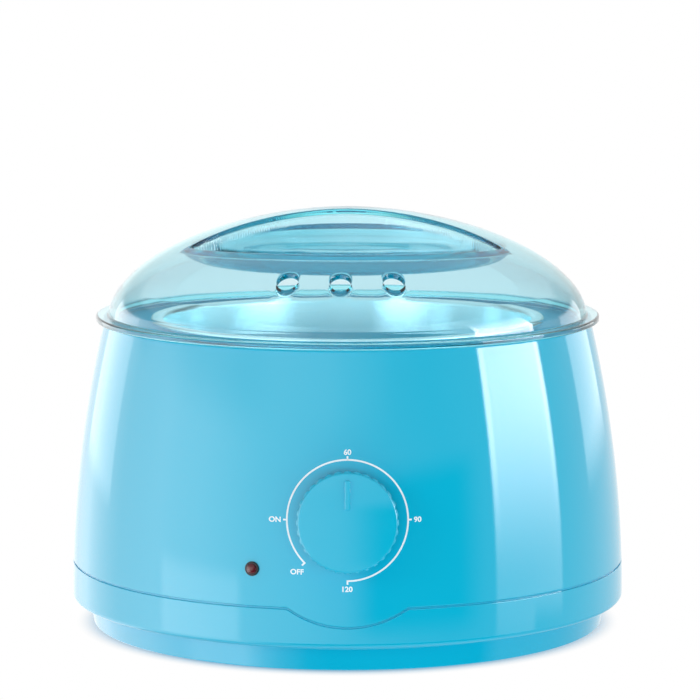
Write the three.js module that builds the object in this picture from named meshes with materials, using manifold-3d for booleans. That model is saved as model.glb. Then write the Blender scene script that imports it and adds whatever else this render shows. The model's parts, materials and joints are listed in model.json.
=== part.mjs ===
import * as THREE from 'three';
import { mergeVertices } from 'three/addons/utils/BufferGeometryUtils.js';
import Module from 'manifold-3d';

// A wax warmer with a round moulded body, a lift-out pot, a clear lid and one dial.
// Lengths are millimetres and +Z is up. The front, with the knob, looks along -Y.
// The origin is on the body's axis, on the surface that the feet stand on.

const wasm = await Module();
wasm.setup();

// Gaps and counts that several pieces share
const touchGap = 0.3; // between two pieces that rest on each other
const snugGap = 0.15; // round a screw in its hole, or a small part in its seat
const overrun = 1; // how far a cutting shape runs past what it cuts
const overlap = 0.6; // how far joined shapes of one piece run into each other
const weldTolerance = 0.0005;
const shellSegments = 40;
const innerSegments = 30;
const smallSegments = 10;
const screwSegments = 8;
const footSegments = 14;
const nutSides = 6;
const clipSteps = 5;

// Body: the wall is a parabola that starts plumb at the band's lower edge
const bodyRadius = 92.7;
const bodyTaper = 11.2; // how much the radius has shrunk at the rim
const bandBottomZ = 8.9;
const seamZ = 21.5;
const seamGap = 0.5;
const rimTopZ = 101.9;
const wall = 2.4;
const wallSteps = 4;

// Rim and deck
const rimWall = 1.4;
const rimHeight = 1.5; // from the deck up to the rim's top
const deckThickness = 2.2;
const edgeRound = 0.4;

// Lap joint at the seam: the base's lip stands inside the housing's skirt
const lipWall = 1;
const lipHeight = 3.7;

// Tongue that dips below the seam at the front
const tongueHalfWidth = 19.4;
const tongueFlatHalfWidth = 4.9;
const tongueDrop = 5.5;
const tongueSteps = 5;
const tongueBendShare = 0.45;

// Base pan
const footProud = 1; // how far the feet hold the base off the table
const floorThickness = 2.2;
const plinthInset = 6.7; // from the band's lower edge in to the plinth
const plinthDraft = 1.5;
const plinthWall = 2.2;
const bandFloor = 2.2;
const ventCount = 10;
const ventLength = 14;
const ventWidth = 2.6;
const ventRingRadius = 36;

// Feet
const footCount = 4;
const footRadius = 7;
const footSocket = 1; // depth of the foot's recess in the floor
const footMargin = 5.5;
const footDraft = 0.6;

// Screws that hold the base to the housing
const postCount = 4;
const tallBossRadius = 4.5;
const tallBossInset = 0.3;
const postRadius = 6;
const postHeight = 10.8;
const baseScrewRadius = 1.8;
const baseScrewHeadRadius = 3.6;
const baseScrewHead = 2.4;
const baseScrewLength = 16;
const counterboreRadius = 4.1;
const counterboreDepth = 6.5;
const pilotMargin = 0.5; // how far a pilot hole runs past its screw

// Knob, on an axis square to the wall
const knobZ = 49.5;
const knobRadius = 16;
const knobHeight = 10.6;
const knobGap = 1;
const knobChamfer = 0.8;
const knobWall = 2.6;
const fluteCount = 32;
const fluteDepth = 0.45;
const pointerLength = 9.3;
const pointerWidth = 1.9;
const pointerProud = 0.5;
const pointerInset = 2.7; // from the knob's edge to the pointer's outer end
const hubRadius = 5.5;
const hubShort = 0.6; // how far the hub ends above the knob's lower edge

// Spring clip round the knob's hub
const clipBand = 0.7;
const clipBandHeight = 3;
const clipBandSlot = 2.4;

// Thermostat shaft
const shaftRadius = 3;
const shaftFlat = 0.7; // depth of the flat on the shaft
const shaftHoleGap = 0.7;
const shaftDepth = 5; // how far the shaft runs into the thermostat

// Thermostat and its bracket, in the knob's frame
const bracketReach = 5; // from the wall's inner face at the axis to the bracket
const bracketThickness = 1.2;
const bracketScrewClear = 2.3; // from the thermostat's side to a bracket screw's head
const bracketEnd = 4.5;
const bracketLip = 3; // depth of the bent edges
const bracketBossRadius = 3.4;
const thermostatWidth = 24;
const thermostatHeight = 20;
const thermostatDepth = 10.5;
const thermostatCollarRadius = 4.6;
const thermostatCollarHeight = 3;
const thermostatScrewClear = 0.7; // from the collar to a screw's head
const thermostatTab = 6;
const thermostatTabWidth = 5;
const thermostatTabThickness = 0.8;
const smallScrewRadius = 1.4;
const smallScrewHeadRadius = 2.7;
const smallScrewHead = 1.6;
const smallScrewLength = 4.8;
const backClearance = 1; // behind the thermostat

// Heating stack, from the pot outwards
const potGap = 0.8;
const cupWall = 1;
const heaterWall = 1.6;
const insulationWall = 2;
const potTaper = 2.4; // how much the pot's radius shrinks from rim to floor

// Wax pot
const potDepth = 64.5; // from the rim's top to the floor's underside
const potWall = 1.5;
const potRimOverhang = 3.1;
const potRimHeight = 2.2;
const potCorner = 9;
const potRimSteps = 2;
const potCornerSteps = 3;

// Heater cup and what holds it
const cupFloor = 1;
const cupFlangeClear = 0.5; // from the flange's edge to the tall bosses
const cupFlangeThickness = 1;
const gasketThickness = 1.2;
const clipCount = 3;
const clipThickness = 1.2;
const clipWidth = 8;
const clipGripShare = 0.57; // of the flange's width, how far a clip reaches under it
const clipBossRadius = 3.4;
const clipTail = 3.6;

// Band heater
const heaterBottomShare = 0.2;
const heaterTopShare = 0.62;
const heaterSplit = 4;
const earThickness = 1.4;
const earReach = 9;
const earHeight = 12;
const earHoleShare = 0.6;
const bandScrewRadius = 1.8;
const bandScrewHeadRadius = 3.2;
const bandScrewHead = 2;
const bandScrewTail = 2;
const bandNutRadius = 3.4;
const bandNutHeight = 2.6;
const terminalRadius = 2.2;
const terminalReach = 6;
const terminalTurn = THREE.MathUtils.degToRad(18);
const insulationOverlap = 3; // past the heater, above and below
const insulationOpening = THREE.MathUtils.degToRad(64);

// Thermal fuse under the cup
const fuseRadius = 2;
const fuseLength = 13;
const studRadius = 3;
const studHeight = 3;
const fuseScrewLength = 4.2;
const fuseStrapWidth = 8;
const fuseStrap = 1;

// Pilot lamp
const lampZ = 33.6;
const lampTurn = THREE.MathUtils.degToRad(-19);
const bezelRadius = 2.3;
const bezelProud = 0.7;
const bezelNeckRadius = 1.9;
const bezelTail = 2;
const lensStemRadius = 1.35;
const lensDomeRadius = 1.7;
const lensDomeHeight = 1.1;
const lampHoleGap = 0.2;
const sleeveWall = 1;
const sleeveLength = 14;
const neonRadius = 2.2;
const neonLength = 9;

// Terminal block on the floor
const blockY = 52;
const blockWidth = 26;
const blockDepth = 15;
const blockHeight = 11;
const blockFoot = 3;
const blockEar = 5;
const blockPostRadius = 3.2;
const blockPostHeight = 3;
const blockScrewLength = 6.5;
const poleCount = 2;
const poleWidth = 9;
const poleBoreRadius = 1.6;
const poleBoreRise = 4;

// Cord gland in the rear of the band
const glandFlange = 2.6;
const glandFlangeShare = 0.94; // each share is of half the clear height inside the band
const glandCollar = 1.8;
const glandCollarShare = 0.91;
const glandNeckShare = 0.63;
const glandBoreShare = 0.43;

// Lid
const lidOverhang = 2.75; // how far the flange passes the housing's rim
const lidFlangeThickness = 2;
const lidWall = 2;
const lidDomeInset = 0.1; // from the rim's inner side in to the dome's foot
const lidDomeRise = 35.4; // from the flange's top to the apex
const lidDomeShare = 1.81; // exponent of the dome's superellipse: 2 would be an ellipse
const lidDomeSteps = 7;
const lidRingClearance = 0.4; // from the ring to the rim's inner side and to the deck
const craterEndInset = 23.5; // from the dome's foot in to the crater's lip, at the ridge's ends
const craterSideInset = 28; // the same at the front and the rear
const craterSideWidth = 16; // from the crater's lip in to its floor
const craterSideHeight = 7;
const craterDrop = 17; // from the apex down to the crater's floor
const craterSteps = 3;
const ridgeHalfWaist = 5.2;
const ridgeFlareShare = 1.225; // of the dome's radius, for the arcs that widen the ridge to its ends
const ridgeSteps = 8;
const lidVentCount = 3;
const lidVentRadius = 3.5;
const lidVentInset = 12; // from the dome's foot in to the middle of a vent
const lidVentStep = THREE.MathUtils.degToRad(14.3);
const lidTurn = THREE.MathUtils.degToRad(-1.9);

// Inner leads
const leadRadius = 1.1;
const leadSides = 6;
const leadSteps = 12;
const leadClear = 3; // how far a lead keeps from what it passes
const leadFoldShare = 0.8;

// Heights and radii worked out from the sizes above
const rimRadius = wallRadius(rimTopZ);
const rimInnerRadius = rimRadius - rimWall;
const deckTopZ = rimTopZ - rimHeight;
const deckBottomZ = deckTopZ - deckThickness;
const lipTopZ = seamZ + lipHeight;
const skirtWall = wall - lipWall - touchGap;
const floorTopZ = footProud + floorThickness;
const plinthTopRadius = bodyRadius - plinthInset;
const plinthFootRadius = plinthTopRadius - plinthDraft;

const knobWallRadius = wallRadius(knobZ);
const bracketZ = -(wall + bracketReach + touchGap); // front of the bracket, in the knob's frame
const thermostatZ = bracketZ - bracketThickness - touchGap;
const bracketHalfSpan = thermostatWidth / 2 + bracketScrewClear + smallScrewHeadRadius; // to a screw
const thermostatScrewSpan = thermostatCollarRadius + thermostatScrewClear + smallScrewHeadRadius;
const knobTilt = wallTilt(knobZ);
const thermostatBackRadius = knobWallRadius + (thermostatZ - thermostatDepth) * Math.cos(knobTilt)
  - thermostatHeight / 2 * Math.sin(knobTilt);
const insulationTopRadius = thermostatBackRadius - backClearance;
const potTopRadius = insulationTopRadius - insulationWall - touchGap - heaterWall - touchGap - cupWall - potGap;
const deckOpeningRadius = potTopRadius + potGap;
const potRimBottomZ = deckTopZ + touchGap;
const potRimTopZ = potRimBottomZ + potRimHeight;
const potBottomZ = potRimTopZ - potDepth;
const cupInsideZ = potBottomZ - potGap;
const cupBottomZ = cupInsideZ - cupFloor;
const gasketTopZ = deckBottomZ - touchGap;
const cupFlangeTopZ = gasketTopZ - gasketThickness - touchGap;
const cupFlangeBottomZ = cupFlangeTopZ - cupFlangeThickness;
const postRingRadius = wallRadius(deckBottomZ) - wall - tallBossRadius - tallBossInset;
const cupFlangeRadius = postRingRadius - tallBossRadius - cupFlangeClear;
const clipGrip = (cupFlangeRadius - cupRadiusAt(cupFlangeBottomZ)) * clipGripShare;
const clipTopZ = cupFlangeBottomZ - touchGap;
const clipRingRadius = cupFlangeRadius + touchGap + clipBossRadius;
const heaterBottomZ = THREE.MathUtils.lerp(cupBottomZ, cupFlangeBottomZ, heaterBottomShare);
const heaterTopZ = THREE.MathUtils.lerp(cupBottomZ, cupFlangeBottomZ, heaterTopShare);
const heaterMiddleZ = (heaterBottomZ + heaterTopZ) / 2;
const postTopZ = floorTopZ + postHeight;
const counterboreTopZ = footProud + counterboreDepth;
const lidFlangeBottomZ = rimTopZ + touchGap;
const lidFlangeTopZ = lidFlangeBottomZ + lidFlangeThickness;
const lidApexZ = lidFlangeTopZ + lidDomeRise;
const lidFlangeRadius = rimRadius + lidOverhang;
const lidDomeRadius = rimInnerRadius - lidDomeInset;
const craterHalfWidth = lidDomeRadius - craterEndInset;
const craterHalfDepth = lidDomeRadius - craterSideInset;
const ridgeFlareRadius = lidDomeRadius * ridgeFlareShare;
const footHeight = footProud + footSocket - touchGap;
const bandFloorZ = bandBottomZ + bandFloor;
const glandZ = (bandFloorZ + seamZ - seamGap / 2) / 2;
const glandRoom = glandZ - bandFloorZ;
const glandNeckRadius = glandRoom * glandNeckShare;
const blockPostTopZ = floorTopZ + blockPostHeight;
const blockBottomZ = blockPostTopZ + touchGap;
const blockScrewTipZ = blockBottomZ + blockFoot + touchGap - blockScrewLength;
const poleBoreZ = blockBottomZ + blockFoot + poleBoreRise;
const studBottomZ = cupBottomZ - studHeight;
const fuseScrewSeatZ = studBottomZ - fuseStrap - 2 * touchGap;
const fusePilotTopZ = fuseScrewSeatZ + fuseScrewLength + snugGap;
const fuseZ = cupBottomZ - touchGap - fuseRadius;
const fuseY = studRadius + 2 * touchGap + fuseStrap + touchGap + fuseRadius;
const terminalSeatRadius = potRadiusAt(heaterMiddleZ) + potGap + cupWall + touchGap + heaterWall + touchGap;
const bandScrewY = terminalSeatRadius - touchGap + earReach * earHoleShare;
const knobTopZ = knobGap + knobHeight;
const knobRoofZ = knobTopZ - knobWall;
const hubBottomZ = knobGap + hubShort;

function wallShare(z) {
  return (z - bandBottomZ) / (rimTopZ - bandBottomZ);
}

function wallRadius(z) {
  return bodyRadius - bodyTaper * wallShare(z) ** 2;
}

// How far the wall leans inwards at a height, from plumb
function wallTilt(z) {
  return Math.atan(2 * bodyTaper * wallShare(z) / (rimTopZ - bandBottomZ));
}

// Outer radius of the pot's tapered wall at a height
function potRadiusAt(z) {
  return potTopRadius - potTaper * (potRimBottomZ - z) / (potRimBottomZ - potBottomZ);
}

// Shapes and booleans

function weld(geometry) {
  const bare = geometry.index ? geometry.toNonIndexed() : geometry.clone();
  bare.deleteAttribute('normal');
  bare.deleteAttribute('uv');
  const merged = mergeVertices(bare, weldTolerance);
  const index = merged.index.array;
  const kept = [];
  for (let i = 0; i < index.length; i += 3) {
    const [a, b, c] = index.slice(i, i + 3);
    if (a !== b && b !== c && c !== a) {
      kept.push(a, b, c);
    }
  }
  merged.setIndex(kept);
  return merged;
}

function solidOf(geometry) {
  const merged = weld(geometry);
  return new wasm.Manifold(new wasm.Mesh({
    numProp: 3,
    vertProperties: new Float32Array(merged.attributes.position.array),
    triVerts: new Uint32Array(merged.index.array),
  }));
}

function geometryOf(solid) {
  const mesh = solid.getMesh();
  const geometry = new THREE.BufferGeometry();
  geometry.setAttribute('position', new THREE.BufferAttribute(mesh.vertProperties, 3));
  geometry.setIndex(new THREE.BufferAttribute(mesh.triVerts, 1));
  return geometry;
}

function join(first, ...others) {
  const solid = others.reduce((sum, geometry) => sum.add(solidOf(geometry)), solidOf(first));
  return geometryOf(solid);
}

function cut(first, ...others) {
  const solid = others.reduce((rest, geometry) => rest.subtract(solidOf(geometry)), solidOf(first));
  return geometryOf(solid);
}

function common(first, second) {
  return geometryOf(solidOf(first).intersect(solidOf(second)));
}

// A solid of revolution about Z. The profile's points are radius and height, anticlockwise.
function revolve(profile, segments) {
  const points = profile.map(([radius, z]) => new THREE.Vector2(radius, z));
  return new THREE.LatheGeometry(points, segments).rotateX(Math.PI / 2);
}

// The same for a ring, whose profile closes on itself
function revolveRing(profile, segments) {
  return revolve([...profile, profile[0]], segments);
}

function disc(radius, bottomZ, topZ, segments) {
  return revolve([[0, bottomZ], [radius, bottomZ], [radius, topZ], [0, topZ]], segments);
}

function tubeRing(innerRadius, outerRadius, bottomZ, topZ, segments) {
  return revolveRing([
    [innerRadius, bottomZ], [outerRadius, bottomZ], [outerRadius, topZ], [innerRadius, topZ],
  ], segments);
}

function block(width, depth, bottomZ, topZ) {
  return new THREE.BoxGeometry(width, depth, topZ - bottomZ).translate(0, 0, (bottomZ + topZ) / 2);
}

// A flat outline in X and Y, extruded up from one height to another
function plate(shape, bottomZ, topZ, steps) {
  const settings = { depth: topZ - bottomZ, bevelEnabled: false, curveSegments: steps };
  return new THREE.ExtrudeGeometry(shape, settings).translate(0, 0, bottomZ);
}

function aroundAxis(count, startAngle, place) {
  return Array.from({ length: count }, (_, i) => place(startAngle + 2 * Math.PI * i / count, i));
}

function polar(radius, angle, z) {
  return new THREE.Vector3(radius * Math.cos(angle), radius * Math.sin(angle), z);
}

// A frame on the outside of the wall: +Z points out, square to the wall, and +Y points up it
function wallFrame(turn, z) {
  const ring = new THREE.Group();
  ring.rotation.z = turn;
  const frame = new THREE.Group();
  frame.position.set(0, -wallRadius(z), z);
  frame.rotation.x = Math.PI / 2 - wallTilt(z);
  ring.add(frame);
  return frame;
}

function placed(geometry, frame) {
  frame.updateWorldMatrix(true, false);
  return geometry.applyMatrix4(frame.matrixWorld);
}

const knobFrame = wallFrame(0, knobZ);
const lampFrame = wallFrame(lampTurn, lampZ);

// The cord gland's frame, square through the rear of the band, with +Z pointing out
const glandFrame = new THREE.Group();
glandFrame.position.set(0, wallRadius(glandZ), glandZ);
glandFrame.rotation.x = -Math.PI / 2;


// Materials

const materials = {
  blueBody: () => finish(0x1fb4e0, 0.3, 0),
  clearBlue: () => finish(0x9fe0f2, 0.08, 0),
  aluminium: () => finish(0xc4c7ca, 0.35, 1),
  steel: () => finish(0xa9adb1, 0.4, 1),
  spring: () => finish(0x8f9499, 0.35, 1),
  brass: () => finish(0xc9a94f, 0.35, 1),
  mica: () => finish(0xb9a98a, 0.6, 0),
  fibre: () => finish(0xe6e2d6, 0.95, 0),
  silicone: () => finish(0xc7452f, 0.7, 0),
  ceramic: () => finish(0xe9e4d8, 0.5, 0),
  blackPlastic: () => finish(0x1c1c1f, 0.45, 0),
  rubber: () => finish(0x26282b, 0.85, 0),
  redLens: () => finish(0x8a0d10, 0.15, 0),
  glass: () => finish(0xf0d9c8, 0.1, 0),
  leadRed: () => finish(0xa8231c, 0.5, 0),
  leadBlue: () => finish(0x2a58b0, 0.5, 0),
  leadWhite: () => finish(0xe8e8e4, 0.5, 0),
};

function finish(color, roughness, metalness) {
  return new THREE.MeshStandardMaterial({ color, roughness, metalness });
}

function piece(name, geometry, material) {
  const mesh = new THREE.Mesh(weld(geometry), material());
  mesh.name = name;
  return mesh;
}

// Screws: the head is below, its underside is at zero, and the shank points up

function screw(headRadius, headHeight, shankRadius, length) {
  const rounded = headHeight / 3;
  return revolve([
    [0, -headHeight], [headRadius - rounded, -headHeight], [headRadius, -headHeight + rounded],
    [headRadius, 0], [shankRadius, 0], [shankRadius, length - shankRadius], [0, length],
  ], screwSegments);
}

function smallScrew(length) {
  return screw(smallScrewHeadRadius, smallScrewHead, smallScrewRadius, length);
}

// Points of the body's wall between two heights, at a distance inwards from the outside
function wallLine(inset, fromZ, toZ) {
  return Array.from({ length: wallSteps + 1 }, (_, i) => {
    const z = THREE.MathUtils.lerp(fromZ, toZ, i / wallSteps);
    return [wallRadius(z) - inset, z];
  });
}

// The tongue's outline, seen from the front, from its flat bottom up past the seam
function tongueShape(growth, topZ) {
  const half = tongueHalfWidth + growth;
  const flat = tongueFlatHalfWidth + growth;
  const seam = seamZ + seamGap / 2 - growth;
  const bottom = seam - tongueDrop;
  const bend = (half - flat) * tongueBendShare;
  const shape = new THREE.Shape();
  shape.moveTo(-half, topZ);
  shape.lineTo(-half, seam);
  shape.bezierCurveTo(-half + bend, seam, -flat - bend, bottom, -flat, bottom);
  shape.lineTo(flat, bottom);
  shape.bezierCurveTo(flat + bend, bottom, half - bend, seam, half, seam);
  shape.lineTo(half, topZ);
  return shape;
}

// The tongue's outline as a prism through the front wall
function tonguePrism(growth, topZ) {
  const prism = plate(tongueShape(growth, topZ), 0, bodyRadius / 2, tongueSteps);
  return prism.rotateX(Math.PI / 2).translate(0, -bodyRadius / 2 - overrun, 0);
}

// The band of wall that the tongue hangs in, between two distances from the outside
function tongueBand(outerInset, innerInset, bottomZ, topZ) {
  return revolveRing([
    [wallRadius(bottomZ) - innerInset, bottomZ], [wallRadius(bottomZ) - outerInset, bottomZ],
    [wallRadius(topZ) - outerInset, topZ], [wallRadius(topZ) - innerInset, topZ],
  ], shellSegments);
}

function buildHousing() {
  const skirtBottomZ = seamZ + seamGap / 2;
  const skirtTopZ = lipTopZ + touchGap;
  const shell = revolveRing([
    ...wallLine(0, skirtBottomZ, rimTopZ - edgeRound),
    [rimRadius - edgeRound, rimTopZ],
    [rimInnerRadius + edgeRound, rimTopZ],
    [rimInnerRadius, rimTopZ - edgeRound],
    [rimInnerRadius, deckTopZ],
    [deckOpeningRadius + edgeRound, deckTopZ],
    [deckOpeningRadius, deckTopZ - edgeRound],
    [deckOpeningRadius, deckBottomZ],
    ...wallLine(wall, deckBottomZ, skirtTopZ),
    [wallRadius(skirtTopZ) - skirtWall, skirtTopZ],
    [wallRadius(skirtBottomZ) - skirtWall, skirtBottomZ],
  ], shellSegments);

  const tongueBottomZ = skirtBottomZ - tongueDrop - overrun;
  const tongue = common(
    tongueBand(0, skirtWall, tongueBottomZ, skirtBottomZ + overlap),
    tonguePrism(0, skirtBottomZ + overlap),
  );

  const bossBottomZ = postTopZ + touchGap;
  const tallBosses = aroundAxis(postCount, Math.PI / 4, (angle) => {
    const boss = disc(tallBossRadius, bossBottomZ, deckBottomZ + overlap, smallSegments);
    return boss.translate(...polar(postRingRadius, angle, 0));
  });
  const clipBosses = aroundAxis(clipCount, Math.PI / 2, (angle) => {
    const boss = disc(clipBossRadius, clipTopZ + touchGap, deckBottomZ + overlap, smallSegments);
    return boss.translate(...polar(clipRingRadius, angle, 0));
  });
  const bracketBosses = [-bracketHalfSpan, bracketHalfSpan].map((x) => {
    const dip = knobWallRadius - Math.sqrt(knobWallRadius ** 2 - x ** 2);
    const boss = disc(bracketBossRadius, bracketZ + touchGap, -dip - wall / 2, smallSegments);
    return placed(boss.translate(x, 0, 0), knobFrame);
  });

  const screwTopZ = counterboreTopZ - touchGap + baseScrewLength + pilotMargin;
  const basePilots = aroundAxis(postCount, Math.PI / 4, (angle) => {
    const hole = disc(baseScrewRadius + snugGap, 0, screwTopZ, screwSegments);
    return hole.translate(...polar(postRingRadius, angle, 0));
  });
  const clipScrewTopZ = clipTopZ - clipThickness - touchGap + smallScrewLength;
  const clipPilots = aroundAxis(clipCount, Math.PI / 2, (angle) => {
    const topZ = clipScrewTopZ + pilotMargin;
    const hole = disc(smallScrewRadius + snugGap, clipTopZ - overrun, topZ, screwSegments);
    return hole.translate(...polar(clipRingRadius, angle, 0));
  });
  const bracketPilots = [-bracketHalfSpan, bracketHalfSpan].map((x) => {
    const topZ = bracketZ - bracketThickness - touchGap + smallScrewLength + snugGap;
    const hole = disc(smallScrewRadius + snugGap, bracketZ - overrun, topZ, screwSegments);
    return placed(hole.translate(x, 0, 0), knobFrame);
  });
  const shaftHole = disc(shaftRadius + shaftHoleGap, -wall - overrun, overrun, smallSegments);
  const lampHole = disc(bezelNeckRadius + lampHoleGap, -wall - overrun, overrun, smallSegments);

  const moulding = join(shell, tongue, ...tallBosses, ...clipBosses, ...bracketBosses);
  const bored = cut(moulding, ...basePilots, ...clipPilots, ...bracketPilots);
  return piece('housing_shell', cut(
    bored, placed(shaftHole, knobFrame), placed(lampHole, lampFrame),
  ), materials.blueBody);
}

function footSpots() {
  const ring = plinthFootRadius - footRadius - footMargin;
  return aroundAxis(footCount, 0, (angle) => polar(ring, angle, 0));
}

function buildBase() {
  const seamTopZ = seamZ - seamGap / 2;
  const lipOuter = wall - lipWall;
  const pan = revolve([
    [0, footProud],
    [plinthFootRadius - edgeRound, footProud],
    [plinthFootRadius, footProud + edgeRound],
    [plinthTopRadius, bandBottomZ],
    [bodyRadius - edgeRound, bandBottomZ],
    [wallRadius(bandBottomZ + edgeRound), bandBottomZ + edgeRound],
    [wallRadius(seamTopZ), seamTopZ],
    [wallRadius(seamTopZ) - lipOuter, seamTopZ],
    [wallRadius(lipTopZ) - lipOuter, lipTopZ],
    [wallRadius(lipTopZ) - wall, lipTopZ],
    [wallRadius(bandFloorZ) - wall, bandFloorZ],
    [plinthTopRadius - plinthWall, bandFloorZ],
    [plinthFootRadius - plinthWall, floorTopZ],
    [0, floorTopZ],
  ], shellSegments);

  const posts = aroundAxis(postCount, Math.PI / 4, (angle) => {
    const post = disc(postRadius, floorTopZ - overlap, postTopZ, smallSegments);
    return post.translate(...polar(postRingRadius, angle, 0));
  });
  const blockPosts = blockScrewSpots().map((x) => {
    const post = disc(blockPostRadius, floorTopZ - overlap, blockPostTopZ, smallSegments);
    return post.translate(x, blockY, 0);
  });

  const notch = common(
    tongueBand(-overrun, lipOuter, seamTopZ - tongueDrop - overrun, seamTopZ + overrun),
    tonguePrism(seamGap, seamTopZ + 2 * overrun),
  );
  const postHoles = aroundAxis(postCount, Math.PI / 4, (angle) => {
    const hole = revolve([
      [0, footProud - overrun],
      [counterboreRadius, footProud - overrun],
      [counterboreRadius, counterboreTopZ],
      [baseScrewRadius + touchGap, counterboreTopZ],
      [baseScrewRadius + touchGap, postTopZ + overrun],
      [0, postTopZ + overrun],
    ], smallSegments);
    return hole.translate(...polar(postRingRadius, angle, 0));
  });
  const footSockets = footSpots().map((spot) => {
    const socket = disc(footRadius + touchGap, footProud - overrun, footProud + footSocket, footSegments);
    return socket.translate(spot.x, spot.y, 0);
  });
  const vents = aroundAxis(ventCount, 0, (angle) => {
    const slot = block(ventLength, ventWidth, footProud - overrun, floorTopZ + overrun);
    return slot.translate(ventRingRadius, 0, 0).rotateZ(angle);
  });
  const blockPilots = blockScrewSpots().map((x) => {
    const bottomZ = blockScrewTipZ - pilotMargin;
    const hole = disc(smallScrewRadius + snugGap, bottomZ, blockPostTopZ + overrun, screwSegments);
    return hole.translate(x, blockY, 0);
  });
  const glandHole = disc(glandNeckRadius + touchGap, -wall - overrun, overrun, smallSegments);

  const moulding = join(pan, ...posts, ...blockPosts);
  const bored = cut(moulding, notch, ...postHoles, ...footSockets, ...vents, ...blockPilots);
  return piece('base_pan', cut(bored, placed(glandHole, glandFrame)), materials.blueBody);
}

function buildFeet() {
  return footSpots().map((spot, i) => {
    const foot = piece(`foot_${i + 1}`, revolve([
      [0, 0], [footRadius - footDraft, 0], [footRadius, footProud], [footRadius, footHeight], [0, footHeight],
    ], footSegments), materials.rubber);
    foot.position.copy(spot);
    return foot;
  });
}

function buildBaseScrews() {
  return aroundAxis(postCount, Math.PI / 4, (angle, i) => {
    const shape = screw(baseScrewHeadRadius, baseScrewHead, baseScrewRadius, baseScrewLength);
    const mesh = piece(`base_screw_${i + 1}`, shape, materials.steel);
    mesh.position.copy(polar(postRingRadius, angle, counterboreTopZ - touchGap));
    return mesh;
  });
}

// An arc of profile points, from one angle to another
function arc(centreRadius, centreZ, radius, fromDegrees, toDegrees, steps) {
  return Array.from({ length: steps + 1 }, (_, i) => {
    const angle = THREE.MathUtils.degToRad(THREE.MathUtils.lerp(fromDegrees, toDegrees, i / steps));
    return [centreRadius + radius * Math.cos(angle), centreZ + radius * Math.sin(angle)];
  });
}

function buildPot() {
  const outerFoot = potRadiusAt(potBottomZ + potCorner);
  const innerCorner = potCorner - potWall;
  const innerTop = potTopRadius - potWall;
  const rimMiddleZ = (potRimBottomZ + potRimTopZ) / 2;
  const rimRound = potRimHeight / 2;
  return piece('wax_pot', revolve([
    [0, potBottomZ],
    ...arc(outerFoot - potCorner, potBottomZ + potCorner, potCorner, -90, 0, potCornerSteps),
    [potTopRadius, potRimBottomZ],
    ...arc(potTopRadius + potRimOverhang - rimRound, rimMiddleZ, rimRound, -90, 90, potCornerSteps),
    ...arc(innerTop + rimRound, rimMiddleZ, rimRound, 90, 180, potRimSteps),
    ...arc(outerFoot - potCorner, potBottomZ + potCorner, innerCorner, 0, -90, potCornerSteps),
    [0, potBottomZ + potWall],
  ], innerSegments), materials.aluminium);
}

// Outer radius of the heater cup's wall at a height
function cupRadiusAt(z) {
  return potRadiusAt(z) + potGap + cupWall;
}

function buildCup() {
  const corner = potCorner + potGap + cupWall;
  const cornerZ = cupInsideZ + corner - cupWall;
  const outerFoot = cupRadiusAt(cornerZ);
  const cup = revolve([
    [0, cupBottomZ],
    ...arc(outerFoot - corner, cornerZ, corner, -90, 0, potCornerSteps),
    [cupRadiusAt(cupFlangeBottomZ), cupFlangeBottomZ],
    [cupFlangeRadius, cupFlangeBottomZ],
    [cupFlangeRadius, cupFlangeTopZ],
    [cupRadiusAt(cupFlangeTopZ) - cupWall, cupFlangeTopZ],
    ...arc(outerFoot - corner, cornerZ, corner - cupWall, 0, -90, potCornerSteps),
    [0, cupInsideZ],
  ], innerSegments);
  const stud = disc(studRadius, studBottomZ, cupBottomZ + cupFloor / 2, smallSegments);
  const pilot = disc(smallScrewRadius + snugGap, studBottomZ - overrun, fusePilotTopZ, screwSegments);
  return piece('heater_cup', cut(join(cup, stud), pilot), materials.aluminium);
}

function buildGasket() {
  const ring = tubeRing(
    deckOpeningRadius + touchGap, cupFlangeRadius, cupFlangeTopZ + touchGap, gasketTopZ, innerSegments,
  );
  return piece('cup_gasket', ring, materials.silicone);
}

// A clip lies along X, with its screw at the origin and its grip towards -X
function buildCupClips() {
  const gripEnd = clipBossRadius + touchGap + clipGrip;
  return aroundAxis(clipCount, Math.PI / 2, (angle, i) => {
    const shape = new THREE.Shape();
    shape.moveTo(-gripEnd, -clipWidth / 2);
    shape.lineTo(clipTail - clipWidth / 2, -clipWidth / 2);
    shape.absarc(clipTail - clipWidth / 2, 0, clipWidth / 2, -Math.PI / 2, Math.PI / 2);
    shape.lineTo(-gripEnd, clipWidth / 2);
    shape.closePath();
    const hole = disc(smallScrewRadius + touchGap, -clipThickness - overrun, overrun, screwSegments);
    const clip = piece(`cup_clip_${i + 1}`, cut(
      plate(shape, -clipThickness, 0, clipSteps), hole,
    ), materials.spring);
    const fixing = piece(`clip_screw_${i + 1}`, smallScrew(smallScrewLength), materials.steel);
    fixing.position.z = -clipThickness - touchGap;
    const place = new THREE.Group();
    place.position.copy(polar(clipRingRadius, angle, clipTopZ));
    place.rotation.z = angle;
    return place.add(clip, fixing);
  });
}

// Inner radius of the band heater at a height
function heaterRadiusAt(z) {
  return cupRadiusAt(z) + touchGap;
}

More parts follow.
